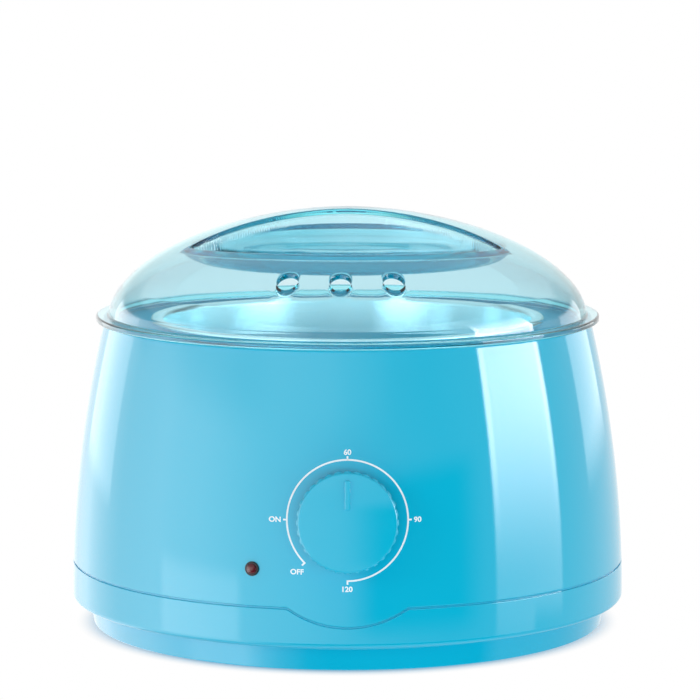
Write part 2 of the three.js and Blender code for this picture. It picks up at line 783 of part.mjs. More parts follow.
function buildBandHeater() {
  const outer = heaterRadiusAt(heaterMiddleZ) + heaterWall;
  const band = revolveRing([
    [heaterRadiusAt(heaterBottomZ), heaterBottomZ],
    [heaterRadiusAt(heaterBottomZ) + heaterWall, heaterBottomZ],
    [heaterRadiusAt(heaterTopZ) + heaterWall, heaterTopZ],
    [heaterRadiusAt(heaterTopZ), heaterTopZ],
  ], innerSegments);
  const split = block(heaterSplit, 2 * heaterWall + 2 * overrun, heaterBottomZ - overrun, heaterTopZ + overrun);
  split.translate(0, outer - heaterWall / 2, 0);
  const ears = [-1, 1].map((side) => {
    const reach = earReach + heaterWall / 2;
    const ear = block(earThickness, reach, heaterMiddleZ - earHeight / 2, heaterMiddleZ + earHeight / 2);
    return ear.translate(side * (heaterSplit + earThickness) / 2, outer + earReach / 2 - heaterWall / 4, 0);
  });
  const earEnd = heaterSplit / 2 + earThickness + overrun;
  const bore = disc(bandScrewRadius + touchGap, -earEnd, earEnd, smallSegments).rotateY(Math.PI / 2);
  bore.translate(0, bandScrewY, heaterMiddleZ);
  const clamp = cut(join(cut(band, split), ...ears), bore);

  const seat = heaterSplit / 2 + earThickness + touchGap;
  const length = 2 * seat + bandNutHeight + bandScrewTail;
  const bolt = piece('band_screw', screw(
    bandScrewHeadRadius, bandScrewHead, bandScrewRadius, length,
  ), materials.steel);
  bolt.rotation.y = Math.PI / 2;
  bolt.position.set(-seat, bandScrewY, heaterMiddleZ);
  const nut = piece('band_nut', cut(
    new THREE.CylinderGeometry(bandNutRadius, bandNutRadius, bandNutHeight, nutSides).rotateZ(Math.PI / 2),
    disc(bandScrewRadius + snugGap, -bandNutHeight, bandNutHeight, screwSegments).rotateY(Math.PI / 2),
  ), materials.steel);
  nut.position.set(seat + bandNutHeight / 2, bandScrewY, heaterMiddleZ);
  return [piece('band_heater', clamp, materials.mica), bolt, nut];
}

// A terminal stands on the band, with a ceramic bush under a brass-coloured stem
function buildHeaterTerminals() {
  return ['right', 'left'].map((side, i) => {
    const angle = Math.PI / 2 + (i ? terminalTurn : -terminalTurn);
    const stem = terminalRadius / 2;
    const mesh = piece(`heater_terminal_${side}`, revolve([
      [0, 0], [terminalRadius, 0], [terminalRadius, terminalReach / 2], [stem, terminalReach / 2],
      [stem, terminalReach], [0, terminalReach],
    ], smallSegments), materials.ceramic);
    mesh.rotation.set(0, Math.PI / 2, angle, 'ZYX');
    mesh.position.copy(polar(terminalSeatRadius, angle, heaterMiddleZ));
    return mesh;
  });
}

function buildInsulation() {
  const bottomZ = heaterBottomZ - insulationOverlap;
  const topZ = heaterTopZ + insulationOverlap;
  const inset = heaterWall + touchGap;
  const ring = revolveRing([
    [heaterRadiusAt(bottomZ) + inset, bottomZ],
    [heaterRadiusAt(bottomZ) + inset + insulationWall, bottomZ],
    [heaterRadiusAt(topZ) + inset + insulationWall, topZ],
    [heaterRadiusAt(topZ) + inset, topZ],
  ], innerSegments);
  const reach = 2 * bodyRadius;
  const half = reach * Math.tan(insulationOpening / 2);
  const wedge = new THREE.Shape([
    new THREE.Vector2(0, 0), new THREE.Vector2(half, reach), new THREE.Vector2(-half, reach),
  ]);
  return piece('insulation_wrap', cut(
    ring, plate(wedge, bottomZ - overrun, topZ + overrun, 1),
  ), materials.fibre);
}

// The fuse lies along X under the cup, held up by a strap on the cup's stud
function buildFuse() {
  const fuse = piece('thermal_fuse', revolve([
    [0, -fuseLength / 2], [fuseRadius / 2, -fuseLength / 2], [fuseRadius, -fuseLength / 2 + fuseRadius / 2],
    [fuseRadius, fuseLength / 2 - fuseRadius / 2], [fuseRadius / 2, fuseLength / 2], [0, fuseLength / 2],
  ], smallSegments), materials.ceramic);
  fuse.rotation.y = Math.PI / 2;
  fuse.position.set(0, fuseY, fuseZ);

  const strapTopZ = studBottomZ - touchGap;
  const strapInner = fuseRadius + touchGap;
  const tab = block(fuseStrapWidth, fuseY - strapInner + studRadius, strapTopZ - fuseStrap, strapTopZ);
  tab.translate(0, (fuseY - strapInner - studRadius) / 2, 0);
  const saddle = new THREE.Shape();
  saddle.absarc(0, 0, strapInner + fuseStrap, Math.PI, 2 * Math.PI, false);
  saddle.absarc(0, 0, strapInner, 2 * Math.PI, Math.PI, true);
  const hook = plate(saddle, -fuseStrapWidth / 2, fuseStrapWidth / 2, clipSteps);
  hook.rotateX(Math.PI / 2).rotateZ(Math.PI / 2).translate(0, fuseY, fuseZ);
  const hole = disc(smallScrewRadius + touchGap, strapTopZ - fuseStrap - overrun, strapTopZ + overrun, screwSegments);
  const strap = piece('fuse_clip', cut(join(tab, hook), hole), materials.spring);

  const fixing = piece('fuse_screw', smallScrew(fuseScrewLength), materials.steel);
  fixing.position.z = strapTopZ - fuseStrap - touchGap;
  return [fuse, strap, fixing];
}

// The knob's rim: each flute has one crest and a flat valley
function fluteShape() {
  const pointsEach = 3;
  const count = fluteCount * pointsEach;
  const points = Array.from({ length: count }, (_, i) => {
    const radius = i % pointsEach === 0 ? knobRadius : knobRadius - fluteDepth;
    const angle = 2 * Math.PI * i / count;
    return new THREE.Vector2(radius * Math.cos(angle), radius * Math.sin(angle));
  });
  return new THREE.Shape(points);
}

// The shaft's outline with its flat, grown by a gap for the knob's bore
function shaftPrism(growth, bottomZ, topZ, flatFromZ) {
  const round = disc(shaftRadius + growth, bottomZ, topZ, smallSegments);
  const flat = block(2 * knobRadius, knobRadius, flatFromZ, topZ + overrun);
  return cut(round, flat.translate(0, knobRadius / 2 + shaftRadius - shaftFlat + growth, 0));
}

function buildKnob() {
  const bezelled = revolve([
    [0, knobGap], [knobRadius + fluteDepth, knobGap],
    [knobRadius + fluteDepth, knobTopZ - knobChamfer - fluteDepth],
    [knobRadius - knobChamfer, knobTopZ], [0, knobTopZ],
  ], fluteCount);
  const fluted = common(plate(fluteShape(), knobGap - overrun, knobTopZ + overrun, 1), bezelled);
  const hollow = disc(knobRadius - knobWall, knobGap - overrun, knobRoofZ, innerSegments);
  const hub = disc(hubRadius, hubBottomZ, knobRoofZ + overlap, smallSegments);
  const bore = shaftPrism(snugGap, hubBottomZ - overrun, knobRoofZ, hubBottomZ - overrun);
  const pointer = block(pointerWidth, pointerLength, knobTopZ - overlap, knobTopZ + pointerProud);
  pointer.translate(0, knobRadius - pointerInset - pointerLength / 2, 0);
  const knob = cut(join(cut(fluted, hollow), hub, pointer), bore);

  const springInner = hubRadius + snugGap;
  const springBottomZ = hubBottomZ + touchGap;
  const ring = tubeRing(
    springInner, springInner + clipBand, springBottomZ, springBottomZ + clipBandHeight, smallSegments,
  );
  const slot = block(clipBandSlot, hubRadius, springBottomZ - overrun, springBottomZ + clipBandHeight + overrun);
  const spring = cut(ring, slot.translate(0, -hubRadius, 0));
  return [
    piece('control_knob', knob, materials.blueBody),
    piece('knob_spring_clip', spring, materials.spring),
  ];
}

function buildThermostat() {
  const shaft = piece('thermostat_shaft', shaftPrism(
    0, thermostatZ - shaftDepth, knobRoofZ - touchGap, hubBottomZ - touchGap,
  ), materials.brass);

  const backZ = thermostatZ - thermostatDepth;
  const middleZ = (thermostatZ + backZ) / 2;
  const body = block(thermostatWidth, thermostatHeight, backZ, thermostatZ);
  const collar = disc(
    thermostatCollarRadius, thermostatZ - overlap, thermostatZ + thermostatCollarHeight, smallSegments,
  );
  const tabs = [-1, 1].map((side) => {
    const tab = block(
      thermostatTab + overlap, thermostatTabWidth,
      middleZ - thermostatTabThickness / 2, middleZ + thermostatTabThickness / 2,
    );
    return tab.translate(side * (thermostatWidth + thermostatTab - overlap) / 2, 0, 0);
  });
  const bore = disc(
    shaftRadius + touchGap, thermostatZ - shaftDepth - touchGap,
    thermostatZ + thermostatCollarHeight + overrun, smallSegments,
  );
  const screwSeatZ = bracketZ + touchGap;
  const pilots = [-thermostatScrewSpan, thermostatScrewSpan].map((x) => {
    const tipZ = screwSeatZ - smallScrewLength - pilotMargin;
    return disc(smallScrewRadius + snugGap, tipZ, thermostatZ + overrun, screwSegments).translate(x, 0, 0);
  });
  const housing = piece('thermostat_body', cut(
    join(body, collar, ...tabs), bore, ...pilots,
  ), materials.ceramic);

  const screws = ['left', 'right'].flatMap((side, i) => {
    const sign = i ? 1 : -1;
    const front = piece(`thermostat_screw_${side}`, smallScrew(smallScrewLength), materials.steel);
    front.rotation.x = Math.PI;
    front.position.set(sign * thermostatScrewSpan, 0, screwSeatZ);
    const back = piece(`bracket_screw_${side}`, smallScrew(smallScrewLength), materials.steel);
    back.position.set(sign * bracketHalfSpan, 0, bracketZ - bracketThickness - touchGap);
    return [front, back];
  });
  return [shaft, housing, buildBracket(), ...screws];
}

// A stamped plate across two bosses on the wall, with its long edges bent back over the thermostat
function buildBracket() {
  const halfLength = bracketHalfSpan + bracketEnd;
  const halfHeight = thermostatHeight / 2 + touchGap + bracketThickness;
  const outline = new THREE.Shape();
  outline.moveTo(-bracketHalfSpan, -halfHeight);
  outline.lineTo(bracketHalfSpan, -halfHeight);
  outline.quadraticCurveTo(halfLength, -halfHeight, halfLength, 0);
  outline.quadraticCurveTo(halfLength, halfHeight, bracketHalfSpan, halfHeight);
  outline.lineTo(-bracketHalfSpan, halfHeight);
  outline.quadraticCurveTo(-halfLength, halfHeight, -halfLength, 0);
  outline.quadraticCurveTo(-halfLength, -halfHeight, -bracketHalfSpan, -halfHeight);
  const sheet = plate(outline, bracketZ - bracketThickness, bracketZ, clipSteps);
  const lips = [-1, 1].map((side) => {
    const lip = block(thermostatWidth, bracketThickness, bracketZ - bracketThickness - bracketLip, bracketZ);
    return lip.translate(0, side * (halfHeight - bracketThickness / 2), 0);
  });
  const spots = [-bracketHalfSpan, -thermostatScrewSpan, thermostatScrewSpan, bracketHalfSpan];
  const holes = spots.map((x) => {
    const hole = disc(
      smallScrewRadius + touchGap, bracketZ - bracketThickness - overrun, bracketZ + overrun, screwSegments,
    );
    return hole.translate(x, 0, 0);
  });
  const middle = disc(
    thermostatCollarRadius + touchGap, bracketZ - bracketThickness - overrun, bracketZ + overrun, smallSegments,
  );
  return piece('thermostat_bracket', cut(join(sheet, ...lips), ...holes, middle), materials.steel);
}

function buildLamp() {
  const bore = lensStemRadius + snugGap;
  const backZ = -wall - bezelTail;
  const bezel = revolveRing([
    [bore, backZ], [bezelNeckRadius, backZ], [bezelNeckRadius, touchGap], [bezelRadius, touchGap],
    [bezelRadius, bezelProud - touchGap], [bezelRadius - touchGap, bezelProud], [bore, bezelProud],
  ], smallSegments);
  const domeZ = bezelProud + snugGap;
  const dome = arc(0, 0, 1, 0, 90, potCornerSteps).map(([share, rise]) => [
    lensDomeRadius * share, domeZ + lensDomeHeight * rise,
  ]);
  const lens = revolve([[0, backZ], [lensStemRadius, backZ], [lensStemRadius, domeZ], ...dome], smallSegments);

  const frontZ = -wall - 2 * touchGap;
  const stepZ = backZ - touchGap;
  const inner = neonRadius + touchGap;
  const sleeve = revolveRing([
    [inner, frontZ - sleeveLength], [inner + sleeveWall, frontZ - sleeveLength], [inner + sleeveWall, frontZ],
    [bezelNeckRadius + snugGap, frontZ], [bezelNeckRadius + snugGap, stepZ], [inner, stepZ],
  ], smallSegments);
  const neonTopZ = stepZ - touchGap;
  const neonRound = neonRadius / 2;
  const neon = revolve([
    [0, neonTopZ - neonLength], [neonRadius, neonTopZ - neonLength], [neonRadius, neonTopZ - neonRound],
    [neonRound, neonTopZ], [0, neonTopZ],
  ], smallSegments);
  return [
    piece('lamp_bezel', bezel, materials.blackPlastic),
    piece('lamp_lens', lens, materials.redLens),
    piece('lamp_sleeve', sleeve, materials.blackPlastic),
    piece('neon_lamp', neon, materials.glass),
  ];
}

function blockScrewSpots() {
  const x = (blockWidth + blockEar) / 2;
  return [-x, x];
}

function poleSpots() {
  return Array.from({ length: poleCount }, (_, i) => (i - (poleCount - 1) / 2) * blockWidth / poleCount);
}

function buildTerminalBlock() {
  const footTopZ = blockBottomZ + blockFoot;
  const foot = block(blockWidth + 2 * blockEar, blockDepth / 2, blockBottomZ, footTopZ);
  const poles = poleSpots().map((x) => (
    block(poleWidth, blockDepth, blockBottomZ, blockBottomZ + blockHeight).translate(x, 0, 0)
  ));
  const wireBores = poleSpots().map((x) => {
    const bore = disc(poleBoreRadius, -blockDepth, blockDepth, smallSegments).rotateX(Math.PI / 2);
    return bore.translate(x, 0, poleBoreZ);
  });
  const screwBores = poleSpots().map((x) => (
    disc(poleBoreRadius, poleBoreZ, blockBottomZ + blockHeight + overrun, smallSegments).translate(x, 0, 0)
  ));
  const holes = blockScrewSpots().map((x) => (
    disc(smallScrewRadius + touchGap, blockBottomZ - overrun, footTopZ + overrun, screwSegments).translate(x, 0, 0)
  ));
  const body = cut(join(foot, ...poles), ...wireBores, ...screwBores, ...holes);
  const mesh = piece('terminal_block', body.translate(0, blockY, 0), materials.blackPlastic);

  const screws = blockScrewSpots().map((x, i) => {
    const fixing = piece(`block_screw_${i ? 'right' : 'left'}`, smallScrew(blockScrewLength), materials.steel);
    fixing.rotation.x = Math.PI;
    fixing.position.set(x, blockY, footTopZ + touchGap);
    return fixing;
  });
  return [mesh, ...screws];
}

function buildGland() {
  const collarZ = -wall - 2 * touchGap;
  const glandCollarRadius = glandRoom * glandCollarShare;
  const glandFlangeRadius = glandRoom * glandFlangeShare;
  const glandBoreRadius = glandRoom * glandBoreShare;
  return piece('cord_gland', revolveRing([
    [glandBoreRadius, collarZ - glandCollar],
    [glandCollarRadius - touchGap, collarZ - glandCollar],
    [glandCollarRadius, collarZ],
    [glandNeckRadius, collarZ],
    [glandNeckRadius, touchGap],
    [glandFlangeRadius, touchGap],
    [glandFlangeRadius - touchGap, touchGap + glandFlange],
    [glandBoreRadius, touchGap + glandFlange],
  ], smallSegments), materials.blackPlastic);
}

// The dome is a superellipse. Its inner side is the same curve, one wall smaller.
function domeProfile(inset) {
  const half = Math.PI / 2;
  return Array.from({ length: lidDomeSteps + 1 }, (_, i) => {
    const angle = half * i / lidDomeSteps;
    const across = Math.max(Math.cos(angle), 0) ** (2 / lidDomeShare);
    const up = Math.sin(angle) ** (2 / lidDomeShare);
    const last = i === lidDomeSteps;
    return [last ? 0 : (lidDomeRadius - inset) * across, lidFlangeTopZ + (lidDomeRise - inset) * up];
  });
}

// The space above the oval crater, grown by the lid's wall for the crater's underside
function craterSolid(growth) {
  const floorZ = lidApexZ - craterDrop - growth;
  const sideZ = floorZ + craterSideHeight;
  const lip = craterHalfDepth + growth;
  const side = arc(0, 0, 1, -90, 0, craterSteps).map(([across, up]) => [
    lip - craterSideWidth * (1 - across), sideZ + craterSideHeight * up,
  ]);
  const round = revolve([
    [0, floorZ], ...side, [lip, lidApexZ + overrun], [0, lidApexZ + overrun],
  ], innerSegments);
  return round.scale((craterHalfWidth + growth) / lip, 1, 1);
}

// The grip ridge seen from above: narrow in the middle, with both sides curving out to its ends
function ridgePrism(inset) {
  const radius = ridgeFlareRadius + inset;
  const side = Array.from({ length: ridgeSteps + 1 }, (_, i) => {
    const x = (craterHalfWidth + 2 * lidWall) * (2 * i / ridgeSteps - 1);
    return new THREE.Vector2(x, ridgeHalfWaist + ridgeFlareRadius - Math.sqrt(radius ** 2 - x ** 2));
  });
  const front = side.map(({ x, y }) => new THREE.Vector2(x, -y));
  return plate(new THREE.Shape([...front, ...side.reverse()]), 0, lidApexZ + 2 * overrun, 1);
}

function buildLid() {
  const ringOuter = rimInnerRadius - lidRingClearance;
  const ringBottomZ = deckTopZ + lidRingClearance;
  const outside = revolve([
    [0, ringBottomZ],
    [ringOuter, ringBottomZ],
    [ringOuter, lidFlangeBottomZ],
    [lidFlangeRadius, lidFlangeBottomZ],
    [lidFlangeRadius, lidFlangeTopZ - edgeRound],
    [lidFlangeRadius - edgeRound, lidFlangeTopZ],
    ...domeProfile(0),
  ], shellSegments);
  const inside = revolve([
    [0, ringBottomZ - overrun],
    [lidDomeRadius - lidWall, ringBottomZ - overrun],
    ...domeProfile(lidWall),
  ], shellSegments);
  const shape = cut(outside, cut(craterSolid(0), ridgePrism(0)));
  const hollow = cut(inside, cut(craterSolid(lidWall), ridgePrism(lidWall)));
  const vents = Array.from({ length: lidVentCount }, (_, i) => {
    const angle = -Math.PI / 2 + (i - (lidVentCount - 1) / 2) * lidVentStep;
    const vent = disc(lidVentRadius, lidFlangeTopZ, lidApexZ, smallSegments);
    return vent.translate(...polar(lidDomeRadius - lidVentInset, angle, 0));
  });
  const lid = piece('lid', cut(shape, hollow, ...vents), materials.clearBlue);
  lid.rotation.z = lidTurn;
  return lid;
}

// A lead is one tube along a smooth route. Its ends stop at what they join.
function lead(name, radius, route, material) {
  const section = new THREE.Shape(Array.from({ length: leadSides }, (_, i) => {
    const angle = 2 * Math.PI * i / leadSides;
    return new THREE.Vector2(radius * Math.cos(angle), radius * Math.sin(angle));
  }));
  const path = new THREE.CatmullRomCurve3(route, false, 'centripetal');
  const tube = new THREE.ExtrudeGeometry(section, { steps: leadSteps, extrudePath: path });
  return piece(name, tube, material);
}

function inFrame(frame, x, y, z) {
  frame.updateWorldMatrix(true, false);
  return frame.localToWorld(new THREE.Vector3(x, y, z));
}

function buildLeads() {
  const [livePole, neutralPole] = [poleSpots()[0], poleSpots()[poleCount - 1]];
  const poleY = blockY - blockDepth / 2;
  const tabX = thermostatWidth / 2 + thermostatTab + touchGap;
  const tabZ = thermostatZ - thermostatDepth / 2;
  const midRadius = (insulationTopRadius + knobWallRadius - wall) / 2;
  const outerRadius = postRingRadius + tallBossRadius + leadClear;
  const lowZ = (blockBottomZ + blockHeight + cupBottomZ) / 2;
  const tipRadius = terminalSeatRadius + terminalReach + touchGap;
  const degrees = THREE.MathUtils.degToRad;
  const fuseEnd = fuseLength / 2 + touchGap;
  const away = 3 * leadClear;

  const live = [
    new THREE.Vector3(livePole, poleY + touchGap, poleBoreZ),
    new THREE.Vector3(livePole, poleY - leadClear, poleBoreZ),
    polar(potTopRadius / 2, degrees(175), lowZ),
    polar(midRadius, degrees(236), lowZ),
    polar(midRadius, degrees(238), knobZ),
    inFrame(knobFrame, -tabX - leadClear, 0, tabZ),
    inFrame(knobFrame, -tabX, 0, tabZ),
  ];
  const heater = [
    inFrame(knobFrame, tabX, 0, tabZ),
    inFrame(knobFrame, tabX + away, 0, tabZ + leadClear),
    ...[-62, -45, -20, 10, 45, 60].map((angle) => polar(outerRadius, degrees(angle), knobZ)),
    polar(tipRadius + away, Math.PI / 2 - terminalTurn, heaterMiddleZ),
    polar(tipRadius, Math.PI / 2 - terminalTurn, heaterMiddleZ),
  ];
  const back = [
    polar(tipRadius, Math.PI / 2 + terminalTurn, heaterMiddleZ),
    polar(tipRadius + leadClear, Math.PI / 2 + terminalTurn, heaterMiddleZ),
    polar(midRadius, degrees(116), cupBottomZ),
    polar(potTopRadius * leadFoldShare, degrees(120), lowZ),
    new THREE.Vector3(-fuseEnd - away, fuseY, fuseZ - leadClear),
    new THREE.Vector3(-fuseEnd, fuseY, fuseZ),
  ];
  const neutral = [
    new THREE.Vector3(fuseEnd, fuseY, fuseZ),
    new THREE.Vector3(fuseEnd + away, fuseY, fuseZ - leadClear),
    new THREE.Vector3(2 * neutralPole, (fuseY + poleY) / 2, lowZ),
    new THREE.Vector3(neutralPole, poleY - leadClear, poleBoreZ),
    new THREE.Vector3(neutralPole, poleY + touchGap, poleBoreZ),
  ];
  return [
    lead('lead_live', leadRadius, live, materials.leadRed),
    lead('lead_heater', leadRadius, heater, materials.leadRed),
    lead('lead_return', leadRadius, back, materials.leadWhite),
    lead('lead_neutral', leadRadius, neutral, materials.leadBlue),
  ];
}

const warmer = new THREE.Group();
warmer.add(buildHousing(), buildBase(), buildLid(), buildPot(), buildCup(), buildGasket());
warmer.add(...buildFeet(), ...buildBaseScrews(), ...buildCupClips());
warmer.add(...buildBandHeater(), ...buildHeaterTerminals(), buildInsulation(), ...buildFuse());
warmer.add(...buildTerminalBlock(), ...buildLeads());
knobFrame.add(...buildKnob(), ...buildThermostat());
lampFrame.add(...buildLamp());
glandFrame.add(buildGland());
warmer.add(knobFrame.parent, lampFrame.parent, glandFrame);

export default warmer;
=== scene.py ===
import json
from math import acos, atan, copysign, cos, pi, radians, sin, sqrt, tan

import bmesh
import bpy
import numpy as np
from mathutils import Matrix, Vector
from mathutils.geometry import delaunay_2d_cdt


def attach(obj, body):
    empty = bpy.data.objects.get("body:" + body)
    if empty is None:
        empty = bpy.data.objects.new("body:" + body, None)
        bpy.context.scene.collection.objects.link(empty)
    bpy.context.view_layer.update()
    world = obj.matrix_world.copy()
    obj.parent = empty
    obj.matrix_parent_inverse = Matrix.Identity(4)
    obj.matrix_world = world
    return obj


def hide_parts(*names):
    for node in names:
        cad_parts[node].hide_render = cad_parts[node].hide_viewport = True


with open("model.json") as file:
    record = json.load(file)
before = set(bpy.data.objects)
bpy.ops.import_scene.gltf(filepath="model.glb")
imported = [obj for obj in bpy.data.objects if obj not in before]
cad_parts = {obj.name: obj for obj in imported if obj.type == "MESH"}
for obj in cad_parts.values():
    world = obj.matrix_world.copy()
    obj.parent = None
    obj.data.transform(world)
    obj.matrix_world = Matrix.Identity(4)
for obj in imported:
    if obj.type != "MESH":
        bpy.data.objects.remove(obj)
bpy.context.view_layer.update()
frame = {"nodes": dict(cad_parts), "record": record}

# A round wax warmer: blue moulded body, clear lid, aluminium pot, one dial and one pilot lamp.
# Sizes are millimetres, as in the part's source, and meshes are written in metres.

MM = 0.001
FULL_TURN = 2 * pi
FRONT = -pi / 2
scene = bpy.context.scene

# Body
body_radius = 92.7
body_taper = 11.2
band_bottom_z = 8.9
seam_z = 21.5
seam_gap = 0.5
seam_round = 0.35
rim_top_z = 101.9
wall = 2.4
rim_wall = 1.4
rim_height = 1.5
deck_thickness = 2.2
skirt_wall = 1.1
skirt_top_z = 25.5
lip_inset = 1.4
lip_top_z = 25.2
deck_opening_radius = 63.73
post_ring_radius = 75.17
post_turn = pi / 4
clip_ring_radius = 73.97
tongue_half_width = 19.0
tongue_drop = 5.9
groove_depth = 0.55

# Base
base_bottom_z = 1.0
floor_top_z = 3.2
plinth_top_radius = 87.0
plinth_foot_radius = 85.6
plinth_rim = 0.4
plinth_wall = 2.2
band_floor_z = 11.1
gland_z = 16.18
foot_ring_radius = 72.0
floor_ring_radius = 60.0
foot_radius = 7.0
air_ring_radius = 36.0

# Knob and lamp
knob_z = 49.5
knob_radius = 16.0
knob_bottom = 1.0
knob_top = 11.6
knob_rim_radius = 15.5
knob_dome = 1.0
flute_count = 32
flute_depth = 0.45
lamp_z = 33.6
lamp_turn = radians(-19)

# Pot and heater cup
pot_top_radius = 62.93
pot_taper = 2.4
pot_rim_bottom_z = 100.7
pot_rim_top_z = 102.9
pot_bottom_z = 38.4
pot_wall = 1.5
pot_corner = 9.0
# Below this height the pot's inside is painted teal: a painted reflection, not a lining or coating of the
# pot.
painted_reflection_z = 89.0
pot_middle_z = 72.0
pot_rim_reach = 3.1
cup_gap = 0.8
cup_wall = 1.0
cup_flange_radius = 70.17

# Lid
lid_bottom_z = 102.2
lid_top_z = 104.2
lid_flange_radius = 84.25
lid_ring_radius = 79.7
lid_ring_bottom_z = 100.8
lid_wall = 2.0
dome_radius = 80.0
dome_rise = 35.4
dome_power = 1.81
crater_half_width = 56.5
crater_half_depth = 52.0
crater_side_width = 16.0
crater_side_height = 7.0
crater_floor_z = 122.6
ridge_half_waist = 5.2
ridge_flare_radius = 98.0
vent_radius = 3.4
vent_ring = 66.2
vent_step = radians(14.7)
vent_count = 48
vent_soft = 0.5
lid_turn = radians(-1.9)


def wall_share(z):
    return (z - band_bottom_z) / (rim_top_z - band_bottom_z)


def wall_radius(z):
    return body_radius - body_taper * wall_share(z) ** 2


def wall_tilt(z):
    return atan(2 * body_taper * wall_share(z) / (rim_top_z - band_bottom_z))


def pot_radius(z):
    return pot_top_radius - pot_taper * (pot_rim_bottom_z - z) / (pot_rim_bottom_z - pot_bottom_z)


def wall_frame(turn, z):
    """Outside of the wall: +Z points out, square to the wall, and +Y points up it."""
    lean = Matrix.Rotation(pi / 2 - wall_tilt(z), 4, "X")
    spot = Matrix.Translation(Vector((0, -wall_radius(z), z)) * MM)
    return Matrix.Rotation(turn, 4, "Z") @ spot @ lean


knob_frame = wall_frame(0, knob_z)
lamp_frame = wall_frame(lamp_turn, lamp_z)
gland_spot = Matrix.Translation(Vector((0, wall_radius(gland_z), gland_z)) * MM)
gland_frame = gland_spot @ Matrix.Rotation(-pi / 2, 4, "X")


# Node trees and finishes

class Graph:
    """A node tree, with short ways to add to it."""

    def __init__(self, tree):
        self.tree = tree
        tree.nodes.clear()

    def add(self, kind, given=None, **settings):
        """A shader node, or one whose kind is given in full.

        given holds its inputs, by name or number, as values, nodes or their outputs.
        """
        node = self.tree.nodes.new(kind if "Node" in kind else "ShaderNode" + kind)
        for name, value in settings.items():
            setattr(node, name, value)
        for name, value in (given or {}).items():
            self.feed(node.inputs[name], value)
        return node

    def feed(self, socket, value):
        """A node stands for its first output."""
        if isinstance(value, bpy.types.Node):
            value = value.outputs[0]
        if isinstance(value, bpy.types.NodeSocket):
            self.tree.links.new(value, socket)
        else:
            socket.default_value = value

    def math(self, operation, *values):
        return self.add("Math", dict(enumerate(values)), operation=operation)

    def length(self, vector):
        return self.add("VectorMath", {0: vector}, operation="LENGTH").outputs["Value"]

    def ranged(self, value, low, high, start=0.0, end=1.0, kind="LINEAR"):
        """From low to high as a value goes from start to end."""
        limits = {"Value": value, "From Min": start, "From Max": end, "To Min": low, "To Max": high}
        return self.add("MapRange", limits, interpolation_type=kind)

    def stepped(self, value, start, end, low=0.0, high=1.0):
        return self.ranged(value, low, high, start, end, "SMOOTHSTEP")

    def between(self, value, first, last, soft):
        """1 from first to last, with soft ends, and 0 elsewhere."""
        rise = self.stepped(value, first - soft / 2, first + soft / 2)
        fall = self.stepped(value, last - soft / 2, last + soft / 2, 1.0, 0.0)
        return self.math("MULTIPLY", rise, fall)

    def mixed(self, share, first, second, kind="FLOAT"):
        given = {"Factor": share, "A": first, "B": second}
        return self.add("Mix", given, data_type=kind).outputs["Result"]

    def either(self, share, first, second):
        """One shader where the share is 0 and another where it is 1."""
        return self.add("MixShader", {0: share, 1: first, 2: second})


class Material(Graph):
    """A material. Every pattern is laid out in object coordinates, in metres."""

    def __init__(self, name):
        self.material = bpy.data.materials.new(name)
        self.material.use_nodes = True
        super().__init__(self.material.node_tree)
        self.output = self.add("OutputMaterial")
        self.place = self.add("TexCoord").outputs["Object"]

    def show(self, shader, socket="Surface"):
        self.feed(self.output.inputs[socket], shader)
        return self.material


class Finish(Material):
    """A material of the warmer, with procedural colour, roughness and bump."""

    def __init__(self, name, **values):
        super().__init__(name)
        self.shader = self.add("BsdfPrincipled")
        self.show(self.shader)
        for word, value in values.items():
            self.set(word.replace("_", " ").title().replace("Ior", "IOR"), value)

    def set(self, name, value):
        self.feed(self.shader.inputs[name], value)

    def noise(self, scale, detail, stretch=(1, 1, 1), place=None):
        mapping = self.add("Mapping", {"Vector": place or self.place, "Scale": stretch})
        given = {"Vector": mapping, "Scale": scale, "Detail": detail}
        return self.add("TexNoise", given).outputs["Fac"]

    def around_axis(self):
        """Distance from the upright axis, and height."""
        split = self.add("SeparateXYZ", {0: self.place}).outputs
        flat = self.add("CombineXYZ", {"X": split["X"], "Y": split["Y"]})
        return self.length(flat), split["Z"]

    def patches(self, scale, colour, shade):
        self.set("Base Color", self.mixed(self.noise(scale, 3), (*colour, 1), (*shade, 1), "RGBA"))

    def roughness(self, marks, rough):
        self.set("Roughness", self.ranged(marks, *rough))

    def bump(self, marks, depth):
        """Depth in micrometres."""
        given = {"Strength": 1.0, "Distance": depth * 1e-6, "Height": marks}
        self.set("Normal", self.add("Bump", given))


def moulded(name, colour, shade, rough=(0.4, 0.55), grain=800, depth=10, **values):
    """Plastic, rubber or ceramic: a slightly uneven colour and gloss over a fine skin."""
    finish = Finish(name, **values)
    finish.patches(18, colour, shade)
    finish.roughness(finish.noise(grain / 6, 3), rough)
    finish.bump(finish.noise(grain, 2), depth)
    return finish.material


def body_plastic(name, colour, shade, rough, matt, grain, depth):
    """The body's glossy plastic. The deck under the lid is matt."""
    finish = Finish(name)
    finish.patches(18, colour, shade)
    reach, height = finish.around_axis()
    high = finish.math("GREATER_THAN", height, (rim_top_z - rim_height - 0.4) * MM)
    outside = finish.math("GREATER_THAN", reach, (wall_radius(rim_top_z) - rim_wall - 0.2) * MM)
    deck = finish.math("MULTIPLY", high, finish.ranged(outside, 1.0, 0.0))
    marks = finish.noise(grain / 6, 3)
    finish.set("Roughness", finish.mixed(deck, finish.ranged(marks, *rough), finish.ranged(marks, *matt)))
    finish.bump(finish.noise(grain, 2), depth)
    return finish.material


